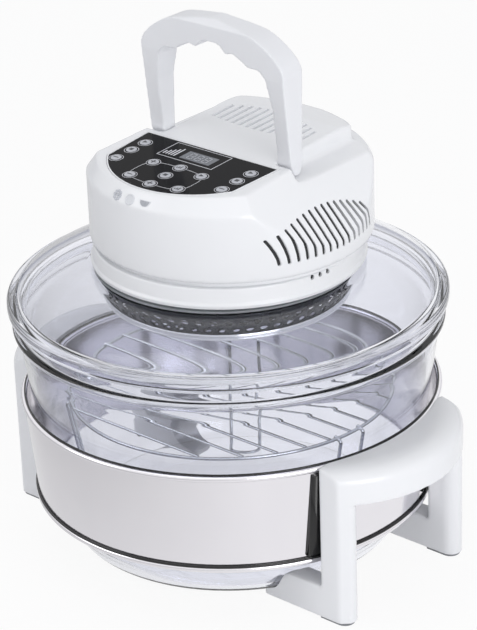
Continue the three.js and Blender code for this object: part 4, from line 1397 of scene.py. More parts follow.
@dataclass
class Lid:
    """Pressed glass lid with its rim and collar seals.

    Attributes:
        shoulder: Radius and height where the dome starts.
        top: Height of the flat collar.
        collar: Outer radius of the flat collar.
        hole: Radius of the hole for the fan head.
        wall: Thickness of the glass.
        dome_steps: Steps along the dome.
        rim: Lip and rim, with their fillets.
        cove: Inside of the rim between the dome and the lip.
        rim_seal: Inner and outer radius, lower and upper face, and the edges' radii.
        collar_seal: The same of the collar's seal.
    """

    shoulder: Flat = (165.0, 210.5)
    top: float = 231.0
    collar: float = 108.0
    hole: float = 92.0
    wall: float = 4.5
    dome_steps: int = 64
    rim: tuple[Point, ...] = (
        (155.9, 203.0, 0), (156.0, 194.0, 1.2), (159.0, 194.0, 1.2), (159.0, 200.0, 0.6),
        (171.0, 200.0, 3.0), (171.0, 209.2, 3.4), (164.6, 210.5, 1.6), (160.0, 214.5, 0),
    )
    cove: tuple[Flat, ...] = ((160.0, 207.0), (158.8, 204.2), (156.6, 202.9))
    rim_seal: tuple[float, ...] = (159.4, 162.4, 198.9, 199.9, 0.4, 0.3)
    collar_seal: tuple[float, ...] = (92.1, 102.9, 231.4, 233.2, 0.6, 0.6)

    def build(self) -> None:
        """Turn the lid and its seals."""
        cover = turned("glass_cover", self.section(), steps=GLASS_STEPS)
        show(cover, PRESSED_GLASS, Body.LID, "glass_lid")
        for name, node, sizes in (
            ("rim_gasket", "rim_seal", self.rim_seal), ("collar_gasket", "collar_seal", self.collar_seal)
        ):
            inner, outer, low, high, under, over = sizes
            ring = [(inner, low, under), (outer, low, under), (outer, high, over), (inner, high, over)]
            show(turned(name, rounded(ring, 3)), SILICONE, Body.LID, node)

    def dome(self) -> list[Flat]:
        """List the outside of the dome from the shoulder up to the collar.

        Returns:
            Radius and height of its points.
        """
        points = []
        for i in range(self.dome_steps + 1):
            share = i / self.dome_steps
            rise = math.sin(share * math.pi / 2)
            radius = self.shoulder[0] + (self.collar - self.shoulder[0]) * rise * math.sqrt(share)
            points.append((radius, self.shoulder[1] + (self.top - self.shoulder[1]) * rise))
        return points

    def section(self) -> list[Flat]:
        """List the lid's closed section, with an even wall under the dome.

        Returns:
            Radius and height of each point.
        """
        outside = self.dome()[2:]
        under = self.top - self.wall
        inside = [(self.collar, under)]
        for (r1, z1), (r2, z2) in zip(outside[::-1][:-1], outside[::-1][1:]):
            along = Vector((r2 - r1, z2 - z1)).normalized()
            middle = Vector((r1 + r2, z1 + z2)) / 2 + Vector((along.y, -along.x)) * self.wall
            if inside[-1][0] < middle.x < self.cove[0][0]:
                inside.append((middle.x, middle.y))
        hole = [(100.0, self.top, 0), (self.hole, self.top, 1.6), (self.hole, under, 1.2), (100.0, under, 0)]
        return [*rounded(self.rim, 6)[1:-1], *outside, *rounded(hole, 4)[1:-1], *inside, *self.cove]


# Fan guard


@dataclass
class FanGuard:
    """Perforated pan with a bright trim ring round its foot.

    Attributes:
        low: Height of the pan's bottom.
        high: Height of the flange's top.
        low_radius: Radius at the bottom.
        high_radius: Radius at the top.
        flange: Inner radius of the flange.
        per_row: Holes in each row of the wall.
        hole: Radius of the wall's holes.
        rows: Heights of the rows above the bottom.
        floor_rings: Radius of each ring of holes in the bottom, their number and their radius.
        ridge: Ridges of the trim ring: place outside the wall, height and fillet.
    """

    low: float = 205.5
    high: float = 226.2
    low_radius: float = 91.5
    high_radius: float = 101.5
    flange: float = 80.0
    per_row: int = 56
    hole: float = 3.1
    rows: tuple[float, ...] = (7.4, 7.4 + 6.9)
    floor_rings: tuple[tuple[float, int, float], ...] = (
        (24.0, 8, 3.0), (36.0, 16, 3.4), (48.0, 24, 3.8), (60.0, 32, 4.2), (71.0, 42, 4.4), (81.5, 50, 4.4)
    )
    ridge: tuple[Point, ...] = (
        (3.6, -1.2, 1.0), (3.0, 0.6, 0.8), (2.2, 0.8, 0.1), (2.8966, 1.0, 0.6), (0.9, 3.8, 0.8),
        (0.3, 3.8, 0.3),
    )

    def build(self) -> None:
        """Build the pan and the trim ring."""
        show(self.pan(), DARK_STEEL, Body.LID, "fan_guard")
        show(self.trim(), BRIGHT_TRIM, Body.LID, "guard_trim_ring")

    def wall(self, height: float) -> float:
        """Give the radius of the wall's outside at a height."""
        share = (height - self.low) / (self.high - self.low)
        return self.low_radius + share * (self.high_radius - self.low_radius)

    def pan(self) -> Piece:
        """Turn the pan and punch its holes.

        Returns:
            The perforated pan.
        """
        profile = [
            (0, self.low, 0),
            (self.low_radius, self.low, 1.6),
            (self.high_radius, self.high, 0.5),
            (self.flange, self.high, 0.3),
            (self.flange, self.high - 1.2, 0.3),
            (self.high_radius - 1.7, self.high - 1.2, 0.4),
            (self.low_radius - 0.9, self.low + 0.9, 1.0),
            (0, self.low + 0.9, 0),
        ]
        pan = turned("perforated_pan", rounded(profile, 3))
        lean = math.atan2(self.high_radius - self.low_radius, self.high - self.low)
        out = Vector((math.cos(lean), 0, -math.sin(lean))) * 3
        punches = []
        for row, height in enumerate(self.rows):
            level = self.low + height
            middle = Vector((self.wall(level), 0, level))
            punches += self.punched(middle, out, self.hole, 12, self.per_row, row / 2)
        for ring, count, radius in self.floor_rings:
            punches += self.punched(Vector((ring, 0, self.low)), Vector((0, 0, 2)), radius, 16, count, 0)
        combined(pan, gathered("punches", punches), Join.CUT)
        smooth(pan)
        return pan

    def punched(
        self, middle: Vector, out: Vector, radius: float, sides: int, count: int, shift: float
    ) -> list[Piece]:
        """Set a ring of punches about the axis.

        Args:
            middle: Middle of the first punch.
            out: Way from its middle to its end.
            radius: Radius of a punch.
            sides: Its number of sides.
            count: Number of punches.
            shift: Turn of the ring, in punches.

        Returns:
            The punches.
        """
        punch = rod("punch", radius, tuple(middle - out), tuple(middle + out), sides)
        turns = [Matrix.Rotation(math.tau * (i + shift) / count, 4, "Z") for i in range(count)]
        ring = [copied(punch, "punch", turn) for turn in turns]
        bpy.data.objects.remove(punch, do_unlink=True)
        return ring

    def trim(self) -> Piece:
        """Turn the bright ring that hugs the pan's foot.

        Returns:
            The ring.
        """
        low = self.low - 0.3
        ridges = [(self.wall(low + z) + out, low + z, radius) for out, z, radius in self.ridge]
        inner = self.low_radius - 5
        profile = [(inner, low - 1.2, 0.5), *ridges, (self.wall(low) + 0.3, low, 0.4), (inner, low, 0.5)]
        return turned("bright_trim_ring", rounded(profile, 4))


# Fan head


@dataclass
class Head:
    """White housing of the fan head: skirt, main shell and their openings.

    Attributes:
        skirt_centre: Where the skirt's axis stands.
        centre: Where the shell's axis stands.
        radius: Radius of the shell's round wall.
        wall: Thickness of the shell.
        bottom: Height of the shell's lower edge.
        chamfer: Heights of the lower and upper edge of the round chamfer.
        chamfer_radius: Radius at the top of the chamfer.
        side: Half width between the leaning sides at ledge height.
        lean: How far the sides lean per unit of height.
        ledge: Height of the side ledges.
        block_half: Half width of the raised rear block.
        block_radius: Radius of the rear block's back.
        block_front: Where the block's front face stands at the sides.
        rear_drop: How far the top falls behind the place below.
        rear_from: Where the top starts to fall.
        ceiling: A level above the whole shell.
        tilt: Slope of the top and the panel, in degrees.
        panel_rear: Place of the panel's rear edge.
        panel_height: Height of the panel's rear edge.
        skirt_form: Section of the skirt, with its fillets.
        neck_form: Section of the groove and the seat under the shell.
        skirt_room: Inner radius, floor and place of the skirt's room.
        vent_ring: Start, height, middle angle and angle step of the three small vents.
        slots: Number, middle, pitch, half width, foot and head of the side slots.
        slot_lean: Lean of the middle slot, and how much more the outer ones lean.
        slot_drop: How much lower the outer slots end.
        slot_walls: Where the slots' cutters start and end.
        louvres: Number, pitch, left and right reach, depth of the rear louvres.
        louvre_ends: Front and rear end of the longest louvre, and how far both move in at the outer ones.
        louvre_middle: Which louvre is the longest, counted from nought, and over how many the ends move.
        mesh: Depths in the wall between which the black sheet of painted shade behind the side vents lies.
        shade_backing_window: Corners of that sheet of painted shade, seen from the side.
        shade_backing_side: Half width that stays free of the painted shade.
        icon_angles: Where the three lenses stand round the front, in degrees.
        icon_rise: How far the lenses sit above the middle of the chamfer, measured along it.
        petal: Section of a petal of the fan lens.
        petal_ring: Radius of the ring of petals and their number.
        heat_ring: Section of the heat lens.
        cups: Radius, height, top level, bevel and steps of the bowl lens and of the frame round it.
        grain: Grain and rounds of the softening.
    """

    skirt_centre: float = 3.0
    centre: float = 7.5
    radius: float = 109.3
    wall: float = 3.0
    bottom: float = 255.0
    chamfer: Flat = (308.0, 318.5)
    chamfer_radius: float = 102.0
    side: float = 79.5
    lean: float = 0.7
    ledge: float = 314.0
    block_half: float = 56.5
    block_radius: float = 96.0
    block_front: float = -5.0
    rear_drop: float = 5.0
    rear_from: float = 72.0
    ceiling: float = 336.0
    tilt: float = 3.1
    panel_rear: float = -11.2
    panel_height: float = 323.9
    skirt_form: tuple[Point, ...] = (
        (60.0, 235.0, 0), (106.0, 235.0, 1.2), (106.6, 238.0, 1.2), (105.2, 240.2, 0.8),
        (104.0, 251.1, 1.6), (60.0, 251.1, 0),
    )
    neck_form: tuple[Flat, ...] = (
        (60.0, 245.0), (103.3, 245.0), (103.3, 255.3), (105.5, 255.3), (105.5, 264.0), (60.0, 264.0)
    )
    skirt_room: Point = (95.0, 236.6, 5.0)
    vent_ring: tuple[float, ...] = (90.0, 249.2, -8.0, 4.2)
    slots: tuple[float, ...] = (15, 2.4, 7.05, 1.4, 266.5, 297.5)
    slot_lean: Flat = (4.5, 5.0)
    slot_drop: float = 9.0
    slot_walls: Flat = (60.0, 115.0)
    louvres: tuple[float, ...] = (13, 7.3, 1.7, 2.0, 1.8)
    louvre_ends: tuple[Flat, Flat] = ((46.0, 83.0), (6.0, 16.0))
    louvre_middle: Flat = (5.2, 7.0)
    mesh: Flat = (1.1, 2.4)
    shade_backing_window: tuple[Flat, ...] = ((-57.0, 262.5), (24.0, 262.5), (18.0, 300.0), (-57.0, 300.0))
    shade_backing_side: float = 60.0
    icon_angles: Point = (-9.4, -2.1, 5.6)
    icon_rise: float = -1.6
    petal: tuple[Flat, ...] = ((0.0, -2.0), (1.2, -2.0), (1.2, 0.5), (0.9, 0.7), (0.0, 0.75))
    petal_ring: tuple[float, int] = (3.1, 8)
    heat_ring: tuple[Flat, ...] = (
        (0.0, -2.0), (4.3, -2.0), (4.3, 0.4), (4.0, 0.7), (3.3, 0.75), (3.1, 0.5), (0.0, 0.7)
    )
    cups: tuple[tuple[float, ...], ...] = ((4.1, 2.0, 0.65, 0.25, 20), (4.9, 2.5, 0.4, 0.2, 24))
    grain: tuple[float, int] = (1.4, 9)

    def build(self) -> None:
        """Build the skirt and the shell."""
        show(self.skirt(), WHITE_ABS, Body.LID, "lower_housing")
        show(self.shell(), WHITE_ABS, Body.LID, "main_housing")
        # Black sheet of painted shade behind the side vents
        show(self.painted_shade_backing(), BLACK_PARTS_AND_PAINTED_SHADE, Body.LID)
        # Black rods of painted shade fill the skirt's vent holes short of the surface, so that they look
        # dark inside
        show(self.vents("vent_painted_shade_cores", 1.75, 12.6), BLACK_PARTS_AND_PAINTED_SHADE, Body.LID)
        show(self.bezel(), WHITE_ABS, Body.LID)
        self.icons()

    def top_at(self, y: float) -> float:
        """Give the height of the sloping top at a depth."""
        return self.panel_height + math.tan(math.radians(self.tilt)) * (y - self.panel_rear)

    def on_panel(self) -> Matrix:
        """Give the placing of things that are drawn flat on the panel's face."""
        place = Matrix.Translation(Vector((0, self.panel_rear, self.panel_height)) * MM)
        return place @ Matrix.Rotation(math.radians(self.tilt), 4, "X")

    def skirt(self) -> Piece:
        """Turn the skirt with its lip, groove and vents.

        Returns:
            The skirt.
        """
        tray = turned("lower_skirt", rounded(self.skirt_form, 5), (0, self.skirt_centre))
        combined(tray, turned("neck", self.neck_form, (0, self.centre)), Join.ADD)
        radius, floor, place = self.skirt_room
        room = [(0.0, floor), (radius, floor), (radius, 270.0), (0.0, 270.0)]
        combined(tray, turned("room", room, (0, place)), Join.CUT)
        combined(tray, self.vents("vents", 1.8, 20.0), Join.CUT)
        smooth(tray)
        return tray

    def vents(self, name: str, radius: float, reach: float) -> Piece:
        """Build three short rods through the skirt under the side vents.

        Args:
            name: Name of the piece.
            radius: Radius of a rod.
            reach: Length of a rod from inside the skirt outwards.

        Returns:
            The rods as one piece.
        """
        inner, height, middle, spread = self.vent_ring
        rods = []
        for step in (-1, 0, 1):
            angle = math.radians(spread * step + middle)
            ray = Vector((math.cos(angle), math.sin(angle), 0))
            start = ray * inner + Vector((0, self.skirt_centre, height))
            rods.append(rod("vent", radius, tuple(start), tuple(start + ray * reach), 16))
        return gathered(name, rods)

    def side_at(self, height: float, inset: float) -> float:
        """Give the half width between the leaning sides at a height, moved inwards by a distance."""
        return self.side + self.lean * (self.ledge - height) - inset * math.hypot(1, self.lean)

    def body(self, name: str, inset: float, bottom: float) -> Piece:
        """Build the closed form of the shell, moved inwards by a distance.

        Args:
            name: Name of the piece.
            inset: Distance inwards.
            bottom: Its lower level.

        Returns:
            The solid form.
        """
        slope = (self.radius - self.chamfer_radius) / (self.chamfer[1] - self.chamfer[0])
        shift = inset * math.hypot(1, slope)
        section = [
            (0.0, bottom),
            (self.radius - inset, bottom),
            (self.radius - inset, self.chamfer[0] - (shift - inset) / slope),
            (self.radius - shift - slope * (self.ceiling - self.chamfer[0]), self.ceiling),
            (0.0, self.ceiling),
        ]
        form = turned(name, section, (0, self.centre), 160)
        low, high = bottom - 1, self.ceiling + 1
        foot, head = self.side_at(low, inset), self.side_at(high, inset)
        sides = [(-foot, low), (foot, low), (head, high), (-head, high)]
        combined(form, pushed("sides", sides, -240.0, 240.0, Plane.FRONT), Join.KEEP_COMMON)
        back = self.centre + self.radius + 4
        top = [
            (-back, low),
            (back, low),
            (back, self.top_at(self.rear_from) - self.rear_drop - inset),
            (self.rear_from, self.top_at(self.rear_from) - inset),
            (-back, self.top_at(-back) - inset),
        ]
        combined(form, pushed("top", top, -130.0, 130.0, Plane.SIDE), Join.KEEP_COMMON)
        half = self.block_half - inset
        back_radius = self.block_radius - inset
        end = math.degrees(math.acos(half / back_radius))
        start = self.block_front - inset
        plan = [
            (-140.0, start),
            (-half, start),
            *reversed(arc((0, self.centre), back_radius, end, 180 - end, 32)),
            (half, start),
            (140.0, start),
            (140.0, 160.0),
            (-140.0, 160.0),
        ]
        combined(form, pushed("ledge", plan, self.ledge - inset, self.ceiling + 4), Join.CUT)
        return form

    def shell(self) -> Piece:
        """Soften the closed form, hollow it and cut its openings.

        Returns:
            The shell.
        """
        shell = softened(self.body("fan_head_shell", 0, self.bottom), *self.grain)
        combined(shell, self.body("hollow", self.wall, self.bottom - 4), Join.CUT)
        recess = moved(pushed("recess", Panel().outline(-0.3), -1.8, 6.0), self.on_panel())
        combined(shell, recess, Join.CUT)
        combined(shell, gathered("side_slots", self.side_slots()), Join.CUT)
        combined(shell, gathered("top_slots", self.top_slots()), Join.CUT)
        smooth(shell, BEVEL_ANGLE)
        return shell

    def painted_shade_backing(self) -> Piece:
        """Build the black sheet of painted shade that stands in the wall behind the side vents, so that they
        look dark inside.

        Returns:
            Both backings as one piece.
        """
        # Depths of the black sheet of painted shade in the wall
        outer, inner = self.mesh
        painted_shade_backing = self.body("vent_painted_shade_backing", outer, 250.0)
        combined(painted_shade_backing, self.body("backing_room", inner, 249.0), Join.CUT)
        window = pushed("window", self.shade_backing_window, -120.0, 120.0, Plane.SIDE)
        combined(painted_shade_backing, window, Join.KEEP_COMMON)
        side = self.shade_backing_side
        plan = [(-side, -140.0), (side, -140.0), (side, 140.0), (-side, 140.0)]
        combined(painted_shade_backing, pushed("middle", plan, 240.0, 345.0), Join.CUT)
        smooth(painted_shade_backing)
        return painted_shade_backing

    def bezel(self) -> Piece:
        """Push the fine raised lip of the shell round the panel.

        Returns:
            The lip, in place.
        """
        lip = pushed("panel_bezel", Panel().outline(0.05), -1.7, 0.35)
        combined(lip, pushed("room", Panel().outline(1.2), -3.0, 3.0), Join.CUT)
        return moved(bevelled(lip, 0.3), self.on_panel())

    def on_chamfer(self, angle: float) -> Matrix:
        """Give the placing of things that are drawn flat on the front chamfer.

        Args:
            angle: Where they stand, counted in degrees from the front.

        Returns:
            The placing.
        """
        slope = (self.radius - self.chamfer_radius) / (self.chamfer[1] - self.chamfer[0])
        middle = Vector((0, -(self.radius + self.chamfer_radius) / 2, sum(self.chamfer) / 2))
        turn = Matrix.Rotation(math.radians(angle), 4, "Z")
        around = Matrix.Translation(Vector((0, self.centre, 0)) * MM) @ turn
        flat = Matrix.Translation(middle * MM) @ Matrix.Rotation(math.atan(1 / slope), 4, "X")
        return around @ flat @ Matrix.Translation(Vector((0, self.icon_rise, 0)) * MM)

    def icons(self) -> None:
        """Build the three raised indicator lenses: fan, heat and bowl."""
        fan_place, heat_place, bowl_place = (self.on_chamfer(angle) for angle in self.icon_angles)
        radius, count = self.petal_ring
        places = [(0.0, 0.0), *arc((0, 0), radius, 0, 360 - 360 / count, count - 1)]
        fan = gathered("indicator_fan", [turned("petal", self.petal, place, 20) for place in places])
        show(moved(fan, fan_place), ICON_MIST, Body.LID, "indicator_lens_1")
        heat = turned("indicator_heat", self.heat_ring, steps=48)
        show(moved(heat, heat_place), ICON_PALE, Body.LID, "indicator_lens_2")
        bowl, frame = (
            moved(self.cup(name, *sizes), bowl_place)
            for name, sizes in zip(("indicator_bowl", "indicator_bowl_frame"), self.cups)
        )
        show(bowl, ICON_GREY, Body.LID, "indicator_lens_3")
        show(frame, ICON_PALE, Body.LID)

    def cup(self, name: str, radius: float, height: float, top: float, bevel: float, steps: int) -> Piece:
        """Push a half disc with its flat side up.

        Args:
            name: Name of the piece.
            radius: Its radius.
            height: Height of the flat side in the drawing.
            top: Its upper level.
            bevel: Width of its bevel.
            steps: Steps of the round side.

        Returns:
            The half disc.
        """
        outline = [(-radius, height), *arc((0, height), radius, 180, 360, steps)[1:]]
        return bevelled(pushed(name, outline, -2.0, top), bevel)

    def side_slots(self) -> list[Piece]:
        """Build the cutters of the side vents, each a bowed slit that leans forwards.

        Returns:
            The cutters of both sides.
        """
        count, middle, pitch, half, low, head = self.slots
        cutters = []
        for i in range(count):
            step = i - count // 2
            share = (step / (count // 2)) ** 2
            foot = middle + pitch * step
            lean = self.slot_lean[0] + self.slot_lean[1] * share
            rise = head - self.slot_drop * share - low
            bow = [(foot - lean * s**1.5, low + rise * s) for s in (0, 0.25, 0.5, 0.75, 1)]
            front = [(y + half, z, 1.2) for y, z in bow]
            plan = rounded([*front, *[(y - half, z, 1.2) for y, z in bow[::-1]]], 3)
            near, far = self.slot_walls
            cutters.append(pushed("slot", plan, near, far, Plane.SIDE))
            cutters.append(pushed("slot", plan, -far, -near, Plane.SIDE))
        return cutters

    def top_slots(self) -> list[Piece]:
        """Build the cutters of the shallow louvres on the rear block, each with a sloping floor.

        Returns:
            The cutters.
        """
        count, pitch, left, right, depth = self.louvres
        (front, rear), (front_shift, rear_shift) = self.louvre_ends
        longest, spread = self.louvre_middle
        cutters = []
        for i in range(count):
            x = pitch * (i - count // 2)
            share = (abs(i - longest) / spread) ** 2
            low, high = front + front_shift * share, rear - rear_shift * share
            wedge = [(x - left, 3.0), (x - left, -depth), (x + right, -0.1), (x + right, 3.0)]
            cutters.append(moved(pushed("louvre", wedge, low, high, Plane.FRONT), self.on_panel()))
        return cutters


# Panel


@dataclass
class Panel:
    """Control panel with keys, display and printed lines, drawn flat and then tilted.

    Attributes:
        rear_half: Half width of the rear edge.
        front_half: Half width where the side edges end.
        front: Length to the foremost point.
        arc_radius: Radius of the front edge.
        play: Gap between the plate and the head.
        key_radius: Radius of a key.
        key_play: Gap between a key and its hole.
        key_top: Levels of the key's edge, the edge's top, the dome's shoulder and the middle.
        keys: Place of each key, right and forward of the rear edge's middle.
        window: Left, right, front and rear edge of the display window.
        pane_levels: Lower and upper level of the display's pane.
        border: Left, right, front and rear edge of the line round the display.
        line: Width of that line.
        print_levels: Lower and upper level of a printed bar.
        levels: Number, left end, pitch and width of the rising bars, their front and rear end, growth.
        sign_levels: Lower and upper level of the signs on the keys.
        triangle: Corners of the triangle.
        square: Half side of the square.
        stroke: Half length and half width of the strokes of plus and minus.
        rising: Place and rear end of each of the three bars.
        digit_places: Where the middle of each digit stands.
        bar_levels: Where the lying segments stand.
        post_levels: Where the standing segments stand.
        segment: Half length, half width and height of a segment, half width of a digit.
        dial: Middle, half width and half length of the loop that links the dial's keys.
        dial_power: How square that loop is.
        dial_steps: Steps along the loop.
        dial_wire: Radius of its line.
        dial_gap: How far the line stays from a key.
        rings: Inner and outer distance of a key's printed ring.
        ring_levels: Lower and upper level of that ring.
    """

    rear_half: float = 66.0
    front_half: float = 63.0
    front: float = 81.5
    arc_radius: float = 77.3
    play: float = 1.4
    key_radius: float = 4.3
    key_play: float = 0.05
    key_top: tuple[float, ...] = (0.35, 0.6, 0.74, 0.8)
    keys: tuple[Flat, ...] = (
        (-53.0, 17.6), (-53.0, 33.0), (-53.0, 50.0), (-23.0, 41.0), (1.0, 38.0), (25.0, 41.0), (1.0, 54.0),
        (-23.0, 67.0), (1.0, 71.0), (25.0, 67.0), (53.0, 17.6), (53.0, 33.0), (53.0, 50.0),
    )
    window: tuple[float, ...] = (-13.0, 16.5, -24.0, -10.5)
    pane_levels: Flat = (-0.6, 0.06)
    border: tuple[float, ...] = (-32.0, 23.0, -28.0, -3.4)
    line: float = 0.55
    print_levels: Flat = (-0.05, 0.08)
    levels: tuple[float, ...] = (5, -29.5, 2.6, 1.2, -24.0, -19.0, 2.2)
    sign_levels: Flat = (0.56, 0.86)
    triangle: tuple[Flat, ...] = ((-1.5, -1.9), (2.2, 0.0), (-1.5, 1.9))
    square: float = 1.6
    stroke: Flat = (2.4, 0.5)
    rising: tuple[Flat, ...] = ((-1.7, -0.76), (0.0, 0.6), (1.7, 1.96))
    digit_places: Point = (-5.6, 1.8, 9.2)
    bar_levels: Point = (-21.6, -17.25, -12.9)
    post_levels: Flat = (-19.4, -15.1)
    segment: tuple[float, ...] = (1.7, 0.35, 0.14, 2.2)
    dial: tuple[float, ...] = (1.0, -54.4, 28.5, 16.7)
    dial_power: float = 2 / 3.3
    dial_steps: int = 96
    dial_wire: float = 0.2
    dial_gap: float = 1.2
    rings: Flat = (1.05, 1.45)
    ring_levels: Flat = (-0.05, 0.07)

    def build(self, placing: Matrix) -> None:
        """Build the plate and all that stands on it.

        Args:
            placing: Where the flat drawing goes.
        """
        plate = bevelled(pushed("panel_plate", self.outline(self.play), -1.5, 0.0), 0.3)
        show(moved(plate, placing), PANEL_ACRYLIC, Body.LID, "control_panel")
        pane = bevelled(self.bar("display_pane", self.window, self.pane_levels), 0.3)
        show(moved(pane, placing), DISPLAY_LENS, Body.LID, "lcd_window")
        show(moved(gathered("display_digits", self.digits()), placing), ICON_GREY, Body.LID)
        show(moved(gathered("level_bars", self.level_bars()), placing), PRINT_INK, Body.LID)
        show(moved(self.frame_line(), placing), PRINT_INK, Body.LID)
        show(moved(self.dial_line(), placing), PRINT_INK, Body.LID)
        for number, (x, along) in enumerate(self.keys, 1):
            name = f"key_{number:02d}"
            button = moved(self.key(name + "_button", x, -along), placing)
            mark = moved(self.mark(name + "_mark", number, x, -along), placing)
            for piece, finish in ((button, KEY_PAINT), (mark, DARK_INK)):
                finish.coat(piece)
                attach(piece, name + "_cap")
            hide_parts(name)
            ring = self.print_ring(name + "_ring", x, -along)
            show(moved(ring, placing), PRINT_INK, Body.LID)

    def bar(self, name: str, box: Sequence[float], levels: Flat) -> Piece:
        """Push a thin bar.

        Args:
            name: Name of the piece.
            box: Its left, right, near and far edge.
            levels: Its lower and upper level.

        Returns:
            The bar.
        """
        left, right, near, far = box
        return pushed(name, [(left, near), (right, near), (right, far), (left, far)], *levels)

    def digits(self) -> list[Piece]:
        """Build the segments of the display, all lit as at switching on.

        Returns:
            The segments.
        """
        long, thin, high, side = self.segment
        bars = []
        for middle in self.digit_places:
            for level in self.bar_levels:
                box = (middle - long, middle + long, level - thin, level + thin)
                bars.append(self.bar("segment", box, (0.0, high)))
            for x in (middle - side, middle + side):
                for level in self.post_levels:
                    box = (x - thin, x + thin, level - long, level + long)
                    bars.append(self.bar("segment", box, (0.0, high)))
        return bars

    def level_bars(self) -> list[Piece]:
        """Build the printed rising bars beside the display.

        Returns:
            The bars.
        """
        count, left, pitch, width, front, rear, growth = self.levels
        bars = []
        for i in range(count):
            box = (left + pitch * i, left + width + pitch * i, front, rear + growth * i)
            bars.append(self.bar("level_bar", box, self.print_levels))
        return bars

    def frame_line(self) -> Piece:
        """Build the printed rectangle round the display.

        Returns:
            The rectangle, flat on the panel.
        """
        left, right, front, rear = self.border
        low, high = front + self.line, rear - self.line
        edges = [
            (left, right, high, rear),
            (left, right, front, low),
            (left, left + self.line, low, high),
            (right - self.line, right, low, high),
        ]
        return gathered("display_frame_line", [self.bar("edge", box, self.print_levels) for box in edges])

    def dial_line(self) -> Piece:
        """Build the printed loop that links the dial's keys, with a gap at each key.

        Returns:
            The line, flat on the panel.
        """
        x, y, across, along = self.dial
        points = []
        for i in range(self.dial_steps):
            turn = math.tau * i / self.dial_steps
            c, s = math.cos(turn), math.sin(turn)
            right = x + across * math.copysign(abs(c) ** self.dial_power, c)
            points.append((right, y + along * math.copysign(abs(s) ** self.dial_power, s), 0.0))
        line = wire("dial_line", points, self.dial_wire, closed=True, sides=1)
        reach = self.key_radius + self.dial_gap
        gap = [(0.0, -1.0), (reach, -1.0), (reach, 1.0), (0.0, 1.0)]
        gaps = [turned("gap", gap, (right, -forward), 40) for right, forward in self.keys]
        return combined(line, gathered("gaps", gaps), Join.CUT)

    def outline(self, inset: float) -> list[Flat]:
        """List the panel's outline, moved inwards by a distance.

        Args:
            inset: Distance inwards.

        Returns:
            Corners in order.
        """
        radius = self.arc_radius - inset
        reach = math.degrees(math.acos((self.front_half - inset) / radius))
        return [
            (self.rear_half - inset, -inset),
            (-self.rear_half + inset, -inset),
            *arc((0, self.arc_radius - self.front), radius, -180 + reach, -reach, 48),
        ]

    def key(self, name: str, x: float, y: float) -> Piece:
        """Turn a slightly domed key button.

        Args:
            name: Name of the piece.
            x: Place to the right.
            y: Place to the rear.

        Returns:
            The key, flat on the panel.
        """
        rim = self.key_radius - self.key_play
        edge, top, shoulder, middle = self.key_top
        dome = [(rim, edge), (rim - 0.25, top), (rim * 0.6, shoulder), (0.0, middle)]
        return turned(name, [(0.0, -2.0), (rim, -2.0), *dome], (x, y), 40)

    def mark(self, name: str, number: int, x: float, y: float) -> Piece:
        """Build the plain sign on a key: a triangle, a square, a plus, a minus or rising bars.

        Args:
            name: Name of the piece.
            number: Number of the key.
            x: Place to the right.
            y: Place to the rear.

        Returns:
            The sign, flat on the panel.
        """
        long, thin = self.stroke
        lying = (x - long, x + long, y - thin, y + thin)
        match number % 5:
            case 1:
                points = [(x + across, y + along) for across, along in self.triangle]
                return pushed(name, points, *self.sign_levels)
            case 2:
                boxes = [(x - self.square, x + self.square, y - self.square, y + self.square)]
            case 3:
                boxes = [lying]
            case 4:
                boxes = [lying, (x - thin, x + thin, y - long, y + long)]
            case _:
                boxes = [(x + at - thin, x + at + thin, y - 2.0, y + rear) for at, rear in self.rising]
        return gathered(name, [self.bar("stroke", box, self.sign_levels) for box in boxes])

    def print_ring(self, name: str, x: float, y: float) -> Piece:
        """Turn the thin printed ring round a key.

        Args:
            name: Name of the piece.
            x: Place to the right.
            y: Place to the rear.

        Returns:
            The ring, flat on the panel.
        """
        inner, outer = (self.key_radius + gap for gap in self.rings)
        low, high = self.ring_levels
        return turned(name, [(inner, low), (outer, low), (outer, high), (inner, high)], (x, y), 40)


# Carry handle


